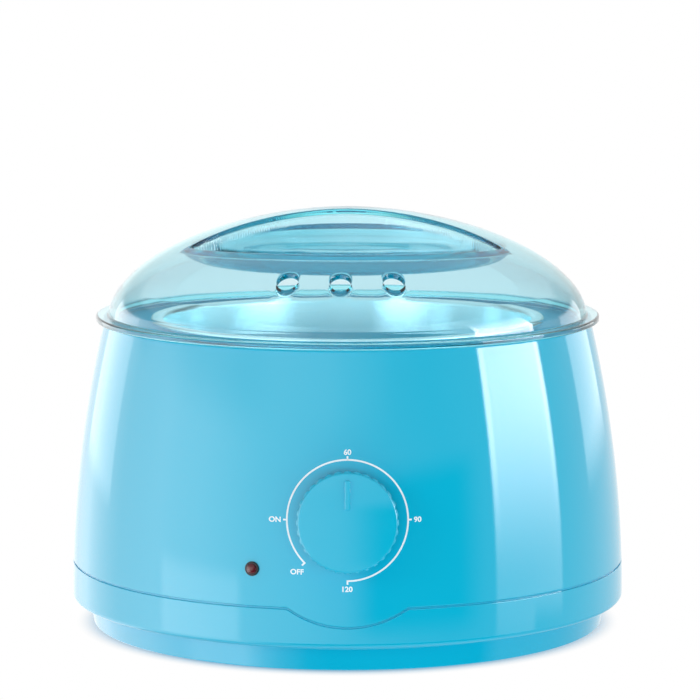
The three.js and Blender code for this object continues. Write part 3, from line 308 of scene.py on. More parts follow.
def metal(name, colour, shade, rough, grain, depth, spun=False, stretch=(1, 1, 1), **values):
    """Metal with fine marks. Where it is spun they run round the upright axis."""
    finish = Finish(name, metallic=1.0, **values)
    place = finish.place
    if spun:
        reach, height = finish.around_axis()
        place = finish.add("CombineXYZ", {"X": reach, "Z": height})
    marks = finish.noise(grain, 4, stretch, place)
    finish.patches(25, colour, shade)
    finish.roughness(marks, rough)
    finish.bump(marks, depth)
    return finish.material


def clear_plastic(name, tint, absorbed, density):
    """Clear plastic. It is darker where light goes through more of it, and lamps reach what is under it."""
    finish = Finish(name, base_color=(*tint, 1), transmission_weight=1.0, ior=1.49)
    finish.roughness(finish.noise(40, 3), (0.015, 0.035))
    finish.bump(finish.noise(55, 1), 12)
    for_lamps = finish.add("LightPath").outputs["Is Shadow Ray"]
    lamp_light = finish.add("BsdfTransparent", {"Color": (*tint, 1)})
    finish.show(finish.either(for_lamps, finish.shader, lamp_light))
    inside = finish.add("VolumeAbsorption", {"Color": (*absorbed, 1), "Density": density})
    return finish.show(inside, "Volume")


blue_gloss = body_plastic(
    "blue_gloss", (0.003, 0.465, 0.69), (0.003, 0.455, 0.675), (0.035, 0.07), (0.6, 0.75), 700, 2.5,
)
clear_lid = clear_plastic("clear_lid", (0.955, 0.935, 0.965), (0.0, 0.9, 0.945), 140)
spun_aluminium = metal(
    "spun_aluminium", (0.78, 0.93, 0.95), (0.74, 0.9, 0.92), (0.18, 0.26), 2600, 0.8, spun=True,
    anisotropic=0.9, anisotropic_rotation=0.25,
)
# Dark teal for the pot's inside below painted_reflection_z: a painted reflection of the blue body in the
# pot's wall.
painted_teal_reflection = moulded(
    "painted_teal_reflection", (0.0, 0.6, 0.77), (0.0, 0.56, 0.72), (0.4, 0.55), 1500, 2, specular_ior_level=0.2,
)
dial_white = moulded("dial_white", (0.9, 0.95, 0.96), (0.86, 0.93, 0.95), (0.35, 0.5), 1500, 2)
black_bezel = moulded(
    "black_bezel", (0.004, 0.004, 0.006), (0.007, 0.007, 0.009), (0.1, 0.2), 1800, 4,
    specular_ior_level=0.3,
)
black_plastic = moulded(
    "black_plastic", (0.02, 0.02, 0.022), (0.03, 0.03, 0.033), (0.35, 0.55), 2500, 10,
)
foot_rubber = moulded(
    "foot_rubber", (0.025, 0.026, 0.028), (0.04, 0.041, 0.043), (0.7, 0.9), 2200, 30,
)
lens_red = moulded(
    "lens_red", (0.13, 0.002, 0.01), (0.08, 0.001, 0.007), (0.05, 0.1), 900, 2,
    transmission_weight=0.15, ior=1.5, specular_ior_level=0.45,
)
plated_steel = metal("plated_steel", (0.62, 0.64, 0.66), (0.55, 0.57, 0.6), (0.22, 0.42), 900, 6)

slot_finishes = {
    "blue_body": blue_gloss,
    "clear_blue": clear_lid,
    "aluminium": spun_aluminium,
    "black_plastic": black_plastic,
    "rubber": foot_rubber,
    "red_lens": lens_red,
    "steel": plated_steel,
    "spring_steel": metal(
        "spring_steel", (0.5, 0.52, 0.55), (0.42, 0.44, 0.47), (0.3, 0.5), 500, 6, stretch=(1, 8, 1),
    ),
    "brass": metal(
        "turned_brass", (0.78, 0.6, 0.26), (0.7, 0.52, 0.2), (0.25, 0.4), 1500, 5, stretch=(1, 1, 4),
    ),
    "mica": moulded("mica_heater", (0.42, 0.33, 0.2), (0.55, 0.46, 0.32), (0.4, 0.7), 260, 40),
    "fibre": moulded("glass_fibre", (0.78, 0.76, 0.68), (0.62, 0.6, 0.52), (0.85, 1.0), 500, 400),
    "silicone": moulded("gasket_silicone", (0.52, 0.06, 0.03), (0.6, 0.09, 0.05), (0.5, 0.7), 900, 10),
    "ceramic": moulded("white_ceramic", (0.8, 0.77, 0.7), (0.72, 0.69, 0.62), (0.35, 0.6), 1200, 10),
    "glass": moulded(
        "neon_glass", (0.95, 0.8, 0.7), (0.9, 0.72, 0.6), (0.02, 0.06), 300, 4,
        transmission_weight=0.9, ior=1.47,
    ),
    "lead_red": moulded("lead_red", (0.42, 0.02, 0.012), (0.5, 0.03, 0.02)),
    "lead_blue": moulded("lead_blue", (0.02, 0.09, 0.42), (0.03, 0.11, 0.5)),
    "lead_white": moulded("lead_white", (0.78, 0.78, 0.74), (0.7, 0.7, 0.66)),
}
for subpart in frame["record"]["subparts"]:
    mesh = frame["nodes"][subpart["node"]].data
    mesh.materials.clear()
    mesh.materials.append(slot_finishes[subpart["material_slot"]])


# Meshes

def add_object(name, data):
    thing = bpy.data.objects.new(name, data)
    scene.collection.objects.link(thing)
    return thing


def mesh_object(name, points, faces, finish, place=None, smooth_to=38):
    """A mesh from millimetres, welded and facing outward. Edges over smooth_to degrees stay sharp."""
    mesh = bpy.data.meshes.new(name)
    mesh.from_pydata([Vector(p) * MM for p in points], [], faces)
    shape = bmesh.new()
    shape.from_mesh(mesh)
    bmesh.ops.remove_doubles(shape, verts=shape.verts, dist=0.0015 * MM)
    bmesh.ops.recalc_face_normals(shape, faces=shape.faces)
    if place is not None:
        bmesh.ops.transform(shape, matrix=place, verts=shape.verts)
    crease(shape, smooth_to)
    shape.to_mesh(mesh)
    shape.free()
    mesh.materials.append(finish)
    return add_object(name, mesh)


def crease(shape, smooth_to):
    for face in shape.faces:
        face.smooth = True
    for edge in shape.edges:
        edge.smooth = len(edge.link_faces) == 2 and edge.calc_face_angle(0) < radians(smooth_to)


def joined(*shapes):
    """One list of points and one of faces from several."""
    points, faces = [], []
    for some_points, some_faces in shapes:
        start = len(points)
        points += [tuple(p) for p in some_points]
        faces += [tuple(i + start for i in face) for face in some_faces]
    return points, faces


def rounded(corners, steps=4, closed=False):
    """A profile from corners of (radius, height) or, with a support point on both sides, (..., rounding)."""
    count = len(corners)
    line = []
    for i, corner in enumerate(corners):
        x, z, rounding = (*corner, 0)[:3]
        here = Vector((x, z))
        if rounding == 0 or (not closed and i in (0, count - 1)):
            line.append((x, z))
            continue
        before = Vector(corners[i - 1][:2]) - here
        after = Vector(corners[(i + 1) % count][:2]) - here
        half = before.angle(after) / 2
        reach = min(rounding / tan(half), 0.45 * before.length, 0.45 * after.length)
        radius = reach * tan(half)
        before.normalize()
        after.normalize()
        centre = here + (before + after).normalized() * radius / sin(half)
        line.append(tuple(here + before * reach * 1.2))
        start, end = here + before * reach - centre, here + after * reach - centre
        sweep = copysign(pi - 2 * half, start.cross(end))
        for step in range(steps + 1):
            angle = sweep * step / steps
            arm = Vector((
                start.x * cos(angle) - start.y * sin(angle),
                start.x * sin(angle) + start.y * cos(angle),
            ))
            line.append(tuple(centre + arm))
        line.append(tuple(here + after * reach * 1.2))
    return line


def even_angles(count):
    return [FULL_TURN * i / count for i in range(count)]


def body_angles():
    """Round the body, with close columns where the tongue is."""
    near = radians(13.5)
    close = np.linspace(-near, near, 97)
    wide = np.linspace(near, FULL_TURN - near, 240)[1:-1]
    return [FRONT + a for a in (*close, *wide)]


def turned(line_at, angles, closed=False):
    """Points and faces round the upright axis. line_at gives the profile at an angle."""
    points, faces = [], []
    lines = [line_at(angle) for angle in angles]
    size = len(lines[0])
    for angle, line in zip(angles, lines):
        points += [(r * cos(angle), r * sin(angle), z) for r, z in line]
    spans = size if closed else size - 1
    for column in range(len(angles)):
        here, there = column * size, (column + 1) % len(angles) * size
        for row in range(spans):
            up = (row + 1) % size
            faces.append((here + row, there + row, there + up, here + up))
    return points, faces


def lathe(line, count=128, closed=False):
    return turned(lambda angle: line, even_angles(count), closed)


def arc_line(centre, height, radius, start, end, steps):
    angles = np.radians(np.linspace(start, end, steps + 1))
    return [(centre + radius * cos(a), height + radius * sin(a)) for a in angles]


def ring_spots(count, radius, start=0.0, x=0.0, y=0.0):
    """Spots evenly round a ring."""
    angles = [start + angle for angle in even_angles(count)]
    return [(x + radius * cos(angle), y + radius * sin(angle)) for angle in angles]


def stacked(rings, ends=True):
    """Points and faces of rings stacked on each other, with their two ends closed or open."""
    count = len(rings[0])
    points = [p for ring in rings for p in ring]
    top = len(points) - count
    faces = [tuple(range(count))[::-1], tuple(range(top, len(points)))] if ends else []
    for low in range(0, top, count):
        for i in range(count):
            j = (i + 1) % count
            faces.append((low + i, low + j, low + count + j, low + count + i))
    return points, faces


def moved(shape, spot):
    points, faces = shape
    return [(x + spot[0], y + spot[1], z) for x, y, z in points], faces


def turned_piece(name, corners, count, finish, place=None, closed=False):
    """A piece that one rounded profile makes as it turns."""
    return mesh_object(name, *lathe(rounded(corners, closed=closed), count, closed), finish, place)


def at_wall(z, inset=0.0, *rounding):
    return (wall_radius(z) - inset, z, *rounding)


def wall_line(inset, low, high, steps):
    return [at_wall(z, inset) for z in np.linspace(low, high, steps + 1)]


def tongue_edge(x, growth):
    """Height of the tongue's outline across the front: an arc that meets the seam in two soft corners."""
    arc = (tongue_half_width**2 + tongue_drop**2) / (2 * tongue_drop)
    line = -growth
    curve = arc - tongue_drop - sqrt((arc + growth) ** 2 - x**2)
    soft = 0.5
    corner = max(0, soft - abs(line - curve)) ** 2 / (4 * soft)
    return seam_z + seam_gap / 2 + min(line, curve) - corner


def seam_height(angle, growth):
    x = body_radius * cos(angle)
    if sin(angle) > 0 or abs(x) > tongue_half_width + growth:
        return seam_z + seam_gap / 2 - growth
    return tongue_edge(x, growth)


def housing_line(angle):
    low = seam_height(angle, 0)
    rim = wall_radius(rim_top_z)
    inner = rim - rim_wall
    deck_top = rim_top_z - rim_height
    deck_bottom = deck_top - deck_thickness
    start = low + 1.2
    return rounded([
        at_wall(low, skirt_wall, seam_round / 2),
        at_wall(low, 0, seam_round),
        *wall_line(0, start, rim_top_z - 1.6, 26),
        (rim, rim_top_z, 0.6),
        (inner, rim_top_z, 0.5),
        (inner, deck_top, 0.5),
        (deck_opening_radius, deck_top, 0.6),
        (deck_opening_radius, deck_bottom, 0.4),
        at_wall(deck_bottom, wall, 1.0),
        *wall_line(wall, deck_bottom - 4, skirt_top_z + 2, 8),
        at_wall(skirt_top_z, wall),
        at_wall(skirt_top_z, skirt_wall),
    ], closed=True)


def boss(radius, low, high, bore, bore_top):
    """An upright screw boss with a hole in its lower end."""
    return lathe(rounded([
        (bore, low, 0.2), (radius, low, 0.3), (radius, high),
        (0, high), (0, bore_top), (bore, bore_top),
    ], closed=True), 28, closed=True)


def build_housing():
    root = rim_top_z - rim_height - deck_thickness + 0.4
    screw_boss = boss(radius=4.5, low=14.3, high=root, bore=1.95, bore_top=23.7)
    clip_boss = boss(radius=3.4, low=95.1, high=root, bore=1.55, bore_top=98.3)
    shapes = [turned(housing_line, body_angles(), closed=True)]
    shapes += [moved(screw_boss, spot) for spot in ring_spots(4, post_ring_radius, post_turn)]
    shapes += [moved(clip_boss, spot) for spot in ring_spots(3, clip_ring_radius, pi / 2)]
    return mesh_object("body_shell", *joined(*shapes), blue_gloss)


def base_line(angle):
    high = seam_height(angle, seam_gap)
    return rounded([
        (0, base_bottom_z),
        (floor_ring_radius, base_bottom_z),
        (plinth_foot_radius - 3.2, base_bottom_z),
        (plinth_foot_radius - 2.6, base_bottom_z - plinth_rim, 0.2),
        (plinth_foot_radius, base_bottom_z - plinth_rim, 0.4),
        (plinth_top_radius, band_bottom_z, 1.6),
        (body_radius, band_bottom_z, 2.0),
        *wall_line(0, band_bottom_z + 3.4, high - 1.2, 4),
        at_wall(high, 0, seam_round),
        at_wall(high, groove_depth),
        (wall_radius(high) - groove_depth, high + seam_gap - 0.08),
        (wall_radius(high) - lip_inset, high + seam_gap - 0.08),
        at_wall(lip_top_z, lip_inset, 0.3),
        at_wall(lip_top_z, wall, 0.3),
        at_wall(band_floor_z, wall, 0.8),
        (plinth_top_radius - plinth_wall, band_floor_z, 0.8),
        (plinth_foot_radius - plinth_wall, floor_top_z, 1.0),
        (floor_ring_radius, floor_top_z),
        (0, floor_top_z),
    ])


# Repeats: one piece, set round a ring by Geometry Nodes

def ring_tree():
    tree = bpy.data.node_groups.new("pieces_round_a_ring", "GeometryNodeTree")
    graph = Graph(tree)
    kinds = {
        "Geometry": "Geometry", "Count": "Int", "Ring radius": "Float", "Start angle": "Float",
        "Step angle": "Float", "Finish": "Material",
    }
    sockets = {
        name: tree.interface.new_socket(name, in_out="INPUT", socket_type="NodeSocket" + kind).identifier
        for name, kind in kinds.items()
    }
    tree.interface.new_socket("Geometry", in_out="OUTPUT", socket_type="NodeSocketGeometry")
    given = graph.add("NodeGroupInput").outputs
    line = graph.add("GeometryNodeMeshLine", {"Count": given["Count"]})
    index = graph.add("GeometryNodeInputIndex")
    angle = graph.math("MULTIPLY_ADD", index, given["Step angle"], given["Start angle"])
    turn = graph.add("CombineXYZ", {"Z": angle})
    arm = graph.add("CombineXYZ", {"X": given["Ring radius"]})
    swing = graph.add("VectorRotate", {"Vector": arm, "Angle": angle}, rotation_type="Z_AXIS")
    spots = graph.add("GeometryNodeSetPosition", {"Geometry": line, "Position": swing})
    placed = {"Points": spots, "Instance": given["Geometry"], "Rotation": turn}
    copies = graph.add("GeometryNodeInstanceOnPoints", placed)
    real = graph.add("GeometryNodeRealizeInstances", {0: copies})
    dressed = graph.add("GeometryNodeSetMaterial", {"Geometry": real, "Material": given["Finish"]})
    graph.add("NodeGroupOutput", {0: dressed})
    return tree, sockets


ring_nodes, ring_sockets = ring_tree()


def bake_mesh(piece):
    """The evaluated mesh takes the place of the piece's own, and its modifiers go."""
    seen = piece.evaluated_get(bpy.context.evaluated_depsgraph_get())
    mesh = bpy.data.meshes.new_from_object(seen)
    piece.modifiers.clear()
    old = piece.data
    piece.data = mesh
    bpy.data.meshes.remove(old)
    return piece


def ring_of(piece, count, radius, start=0.0):
    """Repeats a piece, made at the origin with +X outward, round a ring."""
    modifier = piece.modifiers.new("ring", "NODES")
    modifier.node_group = ring_nodes
    for name, value in (
        ("Count", count), ("Ring radius", radius * MM), ("Start angle", start),
        ("Step angle", FULL_TURN / count), ("Finish", piece.data.materials[0]),
    ):
        modifier[ring_sockets[name]] = value
    return bake_mesh(piece)


def combine(piece, other, operation):
    """Adds a closed shape to a piece, or cuts it out, and removes it."""
    modifier = piece.modifiers.new("combine", "BOOLEAN")
    modifier.operation = operation
    modifier.solver = "EXACT"
    modifier.object = other
    bake_mesh(piece)
    other_mesh = other.data
    bpy.data.objects.remove(other)
    bpy.data.meshes.remove(other_mesh)


def carve(piece, *cutters):
    """Cuts closed shapes out of a piece."""
    for cutter in cutters:
        combine(piece, cutter, "DIFFERENCE")
    finish = piece.data.materials[0]
    piece.data.materials.clear()
    piece.data.materials.append(finish)
    for polygon in piece.data.polygons:
        polygon.material_index = 0
    shape = bmesh.new()
    shape.from_mesh(piece.data)
    bmesh.ops.dissolve_degenerate(shape, dist=0.0005 * MM, edges=shape.edges)
    crease(shape, 30)
    shape.to_mesh(piece.data)
    shape.free()
    return piece


def slot_shape(length, width, low, high, steps=8):
    """A slot with round ends, along X, as points and faces."""
    outline = []
    for side in (1, -1):
        for i in range(steps + 1):
            angle = -pi / 2 + pi * i / steps
            across = (length - width) / 2 + width / 2 * cos(angle)
            outline.append((side * across, side * width / 2 * sin(angle)))
    return stacked([[(x, y, z) for x, y in outline] for z in (low, high)])


def build_base():
    pan = mesh_object("base", *turned(base_line, body_angles()), blue_gloss)
    post = lathe(rounded([(0, 2.4), (6, 2.4), (6, 14, 0.3), (0, 14)]), 32)
    posts = [moved(post, spot) for spot in ring_spots(4, post_ring_radius, post_turn)]
    combine(pan, mesh_object("base_posts", *joined(*posts), blue_gloss), "UNION")
    bore = turned_piece("bore", [
        (0, 0), (4.1, 0), (4.1, 7.5), (2.1, 7.5), (2.1, 15), (0, 15),
    ], 32, blue_gloss)
    foot_seat = foot_radius + 0.3
    socket = turned_piece("socket", [
        (0, 0), (foot_seat, 0), (foot_seat, 2), (0, 2),
    ], 48, blue_gloss)
    vent = mesh_object("vent", *slot_shape(length=14, width=2.6, low=0, high=4.2), blue_gloss)
    gland_hole = turned_piece("gland_hole", [
        (0, -4), (3.5, -4), (3.5, 1.5), (0, 1.5),
    ], 40, blue_gloss, gland_frame)
    return carve(
        pan, ring_of(bore, 4, post_ring_radius, post_turn), ring_of(socket, 4, foot_ring_radius),
        ring_of(vent, 10, air_ring_radius), gland_hole,
    )


def build_feet():
    foot = turned_piece("foot", [
        (0, 0.25), (3.6, 0.25, 0.1), (3.9, 0, 0.12), (foot_radius - 0.7, 0, 0.4), (foot_radius, 1, 0.3),
        (foot_radius, 1.7, 0.2), (0, 1.7),
    ], 64, foot_rubber)
    return ring_of(foot, 4, foot_ring_radius)


def build_screws(head, head_height, seat_z, shank, length):
    """The base's screws, heads down, with a cross cut in each head."""
    screw = turned_piece("base_screws", [
        (0, -head_height), (head, -head_height, 0.7), (head, 0, 0.15), (shank, 0, 0.1),
        (shank, length - shank), (0, length),
    ], 40, plated_steel)
    points, faces = slot_shape(3.6, 0.9, -head_height - 0.3, -head_height + 1.3, 4)
    across = [(-y, x, z) for x, y, z in points]
    carve(screw, *(mesh_object("cross", arm, faces, plated_steel) for arm in (points, across)))
    screw.data.transform(Matrix.Translation((0, 0, seat_z * MM)))
    return ring_of(screw, 4, post_ring_radius, post_turn)


# Knob

def knob_line(angle):
    """The knob's profile at an angle: 32 shallow flutes run up its side to a smooth round rim."""
    dip = flute_depth * (0.5 - 0.5 * cos(flute_count * angle)) ** 1.6
    side = knob_radius - dip
    inside = knob_radius - 2.6
    return rounded([
        (0, 9), (inside, 9, 0.6), (inside, knob_bottom, 0.2), (side, knob_bottom, 0.3),
        (side, knob_top - 2.6, 0.25), (knob_rim_radius + 0.05, knob_top - 2.0, 0.2),
        (knob_rim_radius, knob_top - knob_dome, 0.6),
        *((r, knob_top - knob_dome * (r / knob_rim_radius) ** 2) for r in (13.5, 12, 10, 8, 6, 4, 2, 0)),
    ], 6)


def build_knob():
    body = turned(knob_line, even_angles(flute_count * 14))
    hub = lathe(rounded([
        (3.15, 1.6, 0.2), (5.5, 1.6, 0.2), (5.5, 9.3), (3.15, 9.3),
    ], closed=True), 48, closed=True)
    knob = mesh_object("knob_body", *joined(body, hub), blue_gloss, knob_frame)
    pointer = mesh_object("knob_pointer", *pointer_shape(), blue_gloss, knob_frame)
    return knob, pointer


def pointer_shape():
    """A raised bar with soft edges, from near the knob's middle to near its rim."""
    half, low, high = 0.95, 4.0, 13.3
    top, under = knob_top + 0.5, knob_top - 1.3
    soft, corner = 0.42, 0.6
    rings = []
    for z, inset in (
        (under, 0), (top - soft, 0), (top - 0.62 * soft, 0.08 * soft), (top - 0.29 * soft, 0.29 * soft),
        (top - 0.08 * soft, 0.62 * soft), (top, soft), (top, soft * 1.25),
    ):
        radius = max(corner - inset, 0.05)
        arm = inset + radius
        ring = []
        for side, y, start in (
            (1, high - arm, 0), (-1, high - arm, 90), (-1, low + arm, 180), (1, low + arm, 270),
        ):
            arc = arc_line(side * (half - arm), y, radius, start, start + 90, 5)
            ring += [(*spot, z) for spot in arc]
        rings.append(ring)
    return stacked(rings)


# Lamp and gland

def build_lamp():
    bezel = turned_piece("lamp_ring", [
        (1.5, -4.4), (1.9, -4.4), (1.9, 0.05), (2.3, 0.05), (2.3, 0.7, 0.3), (1.62, 0.7, 0.12),
        (1.5, 0.45, 0.05),
    ], 56, black_bezel, lamp_frame, closed=True)
    dome = [(1.7 * cos(a), 0.75 + 1.1 * sin(a)) for a in np.linspace(0, pi / 2, 13)]
    dome[-1] = (0, 1.85)
    lens = turned_piece("lamp_cap", [
        (0, -4.4), (1.35, -4.4, 0.2), (1.35, 0.66), (1.66, 0.66), *dome,
    ], 56, lens_red, lamp_frame)
    return bezel, lens


def build_gland():
    return turned_piece("cord_bush", [
        (2.2, -4.8, 0.2), (4.3, -4.8, 0.2), (4.6, -3.0, 0.2), (3.2, -3.0), (3.2, 0.3), (4.78, 0.3, 0.2),
        (4.78, 1.5, 0.25), (4.0, 2.0, 0.3), (4.3, 2.9, 0.4), (2.2, 2.9, 0.5),
    ], 56, black_plastic, gland_frame, closed=True)


# Pot and cup

def pan_foot(foot, bottom_z, corner, inset, steps):
    """The bottom of a pan and its round corner, from the axis outward. An inset gives its inner side."""
    arc = arc_line(foot - corner, bottom_z + corner, corner - inset, -90, 0, steps)
    return [(0, bottom_z + inset), (foot - corner - 4, bottom_z + inset), *arc]


def build_pot():
    foot = pot_radius(pot_bottom_z + pot_corner)
    middle_z = (pot_rim_bottom_z + pot_rim_top_z) / 2
    rim = pot_top_radius + pot_rim_reach
    bead = (pot_rim_top_z - pot_rim_bottom_z) / 2
    inner = pot_top_radius - pot_wall
    line = [
        *pan_foot(foot, pot_bottom_z, pot_corner, 0, 12),
        (pot_radius(pot_middle_z), pot_middle_z),
        (pot_top_radius, pot_rim_bottom_z, 0.4),
        *arc_line(rim - bead, middle_z, bead, -90, 90, 10),
        (inner + 2.2, pot_rim_top_z),
        *arc_line(inner + 1.6, pot_rim_top_z - 1.6, 1.6, 90, 180, 8),
        (pot_radius(painted_reflection_z) - pot_wall, painted_reflection_z),
        (pot_radius(pot_middle_z) - pot_wall, pot_middle_z),
        *pan_foot(foot, pot_bottom_z, pot_corner, pot_wall, 12)[::-1],
    ]
    bowl = turned_piece("wax_bowl", line, 192, spun_aluminium)
    # Faces that look into the pot below painted_reflection_z get the painted teal reflection.
    bowl.data.materials.append(painted_teal_reflection)
    for face in bowl.data.polygons:
        faces_in = face.normal.z > 0.95 or face.normal.xy.dot(face.center.xy) < -0.1 * face.center.xy.length
        if faces_in and face.center.z < painted_reflection_z * MM:
            face.material_index = 1
    return bowl


def build_cup():
    bottom_z = pot_bottom_z - cup_gap - cup_wall
    flange_top, flange_bottom = 96.4, 95.4
    corner = pot_corner + cup_gap + cup_wall
    foot = pot_radius(bottom_z + corner) + cup_gap + cup_wall
    line = [
        *pan_foot(foot, bottom_z, corner, 0, 10),
        (pot_radius(flange_bottom) + cup_gap + cup_wall, flange_bottom, 0.6),
        (cup_flange_radius, flange_bottom, 0.2), (cup_flange_radius, flange_top, 0.2),
        (pot_radius(flange_top) + cup_gap, flange_top, 0.9),
        *pan_foot(foot, bottom_z, corner, cup_wall, 10)[::-1],
    ]
    stud = lathe([(0, 33.6), (3, 33.6), (3, bottom_z + 0.5), (0, bottom_z + 0.5)], 28)
    return mesh_object("warming_cup", *joined(lathe(rounded(line), 160), stud), spun_aluminium)


# Lid: the dome and its two finger pockets are one surface, met by the flange and the ring

edge_round = 0.75
wall_slope = 16.0
foot_round = 1.6
lip_soft = 0.9


def dome_height(radius, inset):
    share = np.clip(radius / (dome_radius - inset), 0, 1)
    return lid_top_z + (dome_rise - inset) * (1 - share**dome_power) ** (1 / dome_power)


def ridge_edge(x, inset):
    return ridge_half_waist + ridge_flare_radius - np.sqrt((ridge_flare_radius + inset) ** 2 - x**2)


def lid_height(x, y, inset):
    """Height of the lid's outer side, or with an inset of its inner side, over points of its plan."""
    dome = dome_height(np.hypot(x, y), inset)
    lip = crater_half_depth + inset
    oval = np.hypot(x * lip / (crater_half_width + inset), y)
    share = np.clip((oval - (lip - crater_side_width)) / crater_side_width, 0, None)
    steepest = 0.975
    curve = 1 - np.sqrt(1 - np.minimum(share, steepest) ** 2)
    slope = steepest / sqrt(1 - steepest**2)
    curve += np.maximum(share - steepest, 0) * slope
    crater = crater_floor_z - inset + crater_side_height * curve

    beside = np.abs(y) - ridge_edge(x, inset)
    lean = atan(wall_slope)
    start = edge_round * (sin(lean) - 1)
    first_drop = edge_round * (1 - cos(lean))
    along = np.clip(beside + edge_round, 0, edge_round * sin(lean))
    drop = edge_round - np.sqrt(edge_round**2 - along**2)
    drop = np.where(beside > start, first_drop + wall_slope * (beside - start), drop)

    foot = beside - start - (dome - first_drop - crater) / wall_slope
    in_round = np.clip(foot_round - foot, 0, foot_round)
    crater = crater + foot_round - np.sqrt(foot_round**2 - in_round**2)
    below = dome - crater
    soft = np.clip(lip_soft - np.abs(below), 0, None) / lip_soft
    below = np.maximum(below, 0) + soft**2 * lip_soft / 4
    return dome - np.minimum(drop, below)


def vent_spots():
    angles = [FRONT + turn * vent_step for turn in (-1, 0, 1)]
    return [(vent_ring * cos(angle), vent_ring * sin(angle)) for angle in angles]


def vent_distance(x, y):
    """How far spots of the plan are from the middle of the nearest vent."""
    return np.min([np.hypot(x - vx, y - vy) for vx, vy in vent_spots()], axis=0)


def vent_rim_drop(x, y):
    """How far the dome is rounded down towards a vent's edge."""
    into = np.clip(vent_radius + vent_soft - vent_distance(x, y), 0, vent_soft)
    return vent_soft - np.sqrt(vent_soft**2 - into**2)


def lid_plan(inset, rim_radius, rim_count):
    """Points of the lid's plan, close together along its edges, and the edges that the mesh has to keep."""
    groups = []
    lip = crater_half_depth + inset
    wide = (crater_half_width + inset) / lip

    def oval_ring(radius, angles, stretch=1.0):
        return np.stack([radius * stretch * np.cos(angles), radius * np.sin(angles)], 1)

    def measured(plan):
        """How far spots are outside the pockets' lip, and outside the ridge."""
        x, y = plan.T
        return np.hypot(x / wide, y) - lip, np.abs(y) - ridge_edge(x, inset)

    across = np.arange(-crater_half_width - 2, crater_half_width + 2.1, 0.8)
    for side in (-1, 1):
        for beside in (
            -2.2, -1.3, -0.95, -0.75, -0.55, -0.35, -0.2, -0.1, -0.04, 0, 0.06, 0.14, 0.24, 0.36, 0.5, 0.66,
            0.84, 1.02, 1.2, 1.45, 1.75, 2.1, 2.5, 3.1, 4.0,
        ):
            groups.append(np.stack([across, side * (ridge_edge(across, inset) + beside)], 1))
    angles = np.linspace(0, FULL_TURN, 400, endpoint=False)
    for step in (
        -3.2, -2.2, -1.5, -1.1, -0.8, -0.55, -0.35, -0.2, -0.05, 0.1, 0.25, 0.45, 0.7, 1.0, 1.5, 2.3,
    ):
        groups.append(oval_ring(lip - 0.4 + step, angles, wide))
    close = np.concatenate(groups)
    outside, beside = measured(close)
    close = close[(outside < 2.4) & (beside > -2.3)]

    spacing = 1.7
    rings = [np.zeros((1, 2))]
    for i in range(1, int(rim_radius / spacing)):
        radius = rim_radius * i / int(rim_radius / spacing)
        count = int(FULL_TURN * radius / spacing)
        angles = np.linspace(0, FULL_TURN, count, endpoint=False) + i
        rings.append(oval_ring(radius, angles))
    open_plan = np.concatenate(rings)
    outside, beside = measured(open_plan)
    near = (outside < 2.8) & (beside > -2.6) & ((outside > -3.9) | (beside < 4.6))
    plan = np.concatenate([open_plan[~near], close])

    plan = plan[vent_distance(*plan.T) > vent_radius + 1.6]
    plan = plan[np.hypot(*plan.T) < rim_radius - 0.6]
    cells = np.unique(np.round(plan / 0.045).astype(np.int64), axis=0, return_index=True)[1]
    plan = plan[np.sort(cells)]

    points, edges = [], []

    def add_loop(loop):
        start = len(points)
        points.extend(loop)
        edges.extend((start + i, start + (i + 1) % len(loop)) for i in range(len(loop)))

    add_loop(ring_spots(rim_count, rim_radius))
    for vx, vy in vent_spots():
        add_loop(ring_spots(vent_count, vent_radius, 0.0, vx, vy))
        for step in (0.06, 0.16, 0.3, 0.5, 0.9):
            points.extend(ring_spots(vent_count, vent_radius + step, 0.0, vx, vy))
    points.extend(map(tuple, plan))
    return points, edges


def lid_skin(inset, rim_radius, rim_count):
    """One side of the dome inside the rim ring, as points and faces."""
    points, edges = lid_plan(inset, rim_radius, rim_count)
    flat, _, faces, *_ = delaunay_2d_cdt([Vector(p) for p in points], edges, [], 0, 1e-7)
    flat = np.array([tuple(p) for p in flat])
    centres = np.array([flat[list(face)].mean(0) for face in faces])
    keep = vent_distance(*centres.T) > vent_radius - 0.02
    rim = vent_rim_drop(*flat.T)
    heights = lid_height(*flat.T, inset) + (rim if inset else -rim)
    return np.column_stack([flat, heights]), [face for face, kept in zip(faces, keep) if kept]


def dome_rows(inset, from_radius):
    """The steep lower part of the dome, from a radius out to its foot."""
    size = dome_radius - inset
    start = acos((from_radius / size) ** (dome_power / 2))
    rows = [(from_radius, float(dome_height(from_radius, inset)))]
    for i in range(1, 17):
        angle = start * (1 - (i / 16) ** 0.8) + 0.1 * (i / 16)
        across, up = cos(angle) ** (2 / dome_power), sin(angle) ** (2 / dome_power)
        rows.append((size * across, lid_top_z + (dome_rise - inset) * up))
    return rows


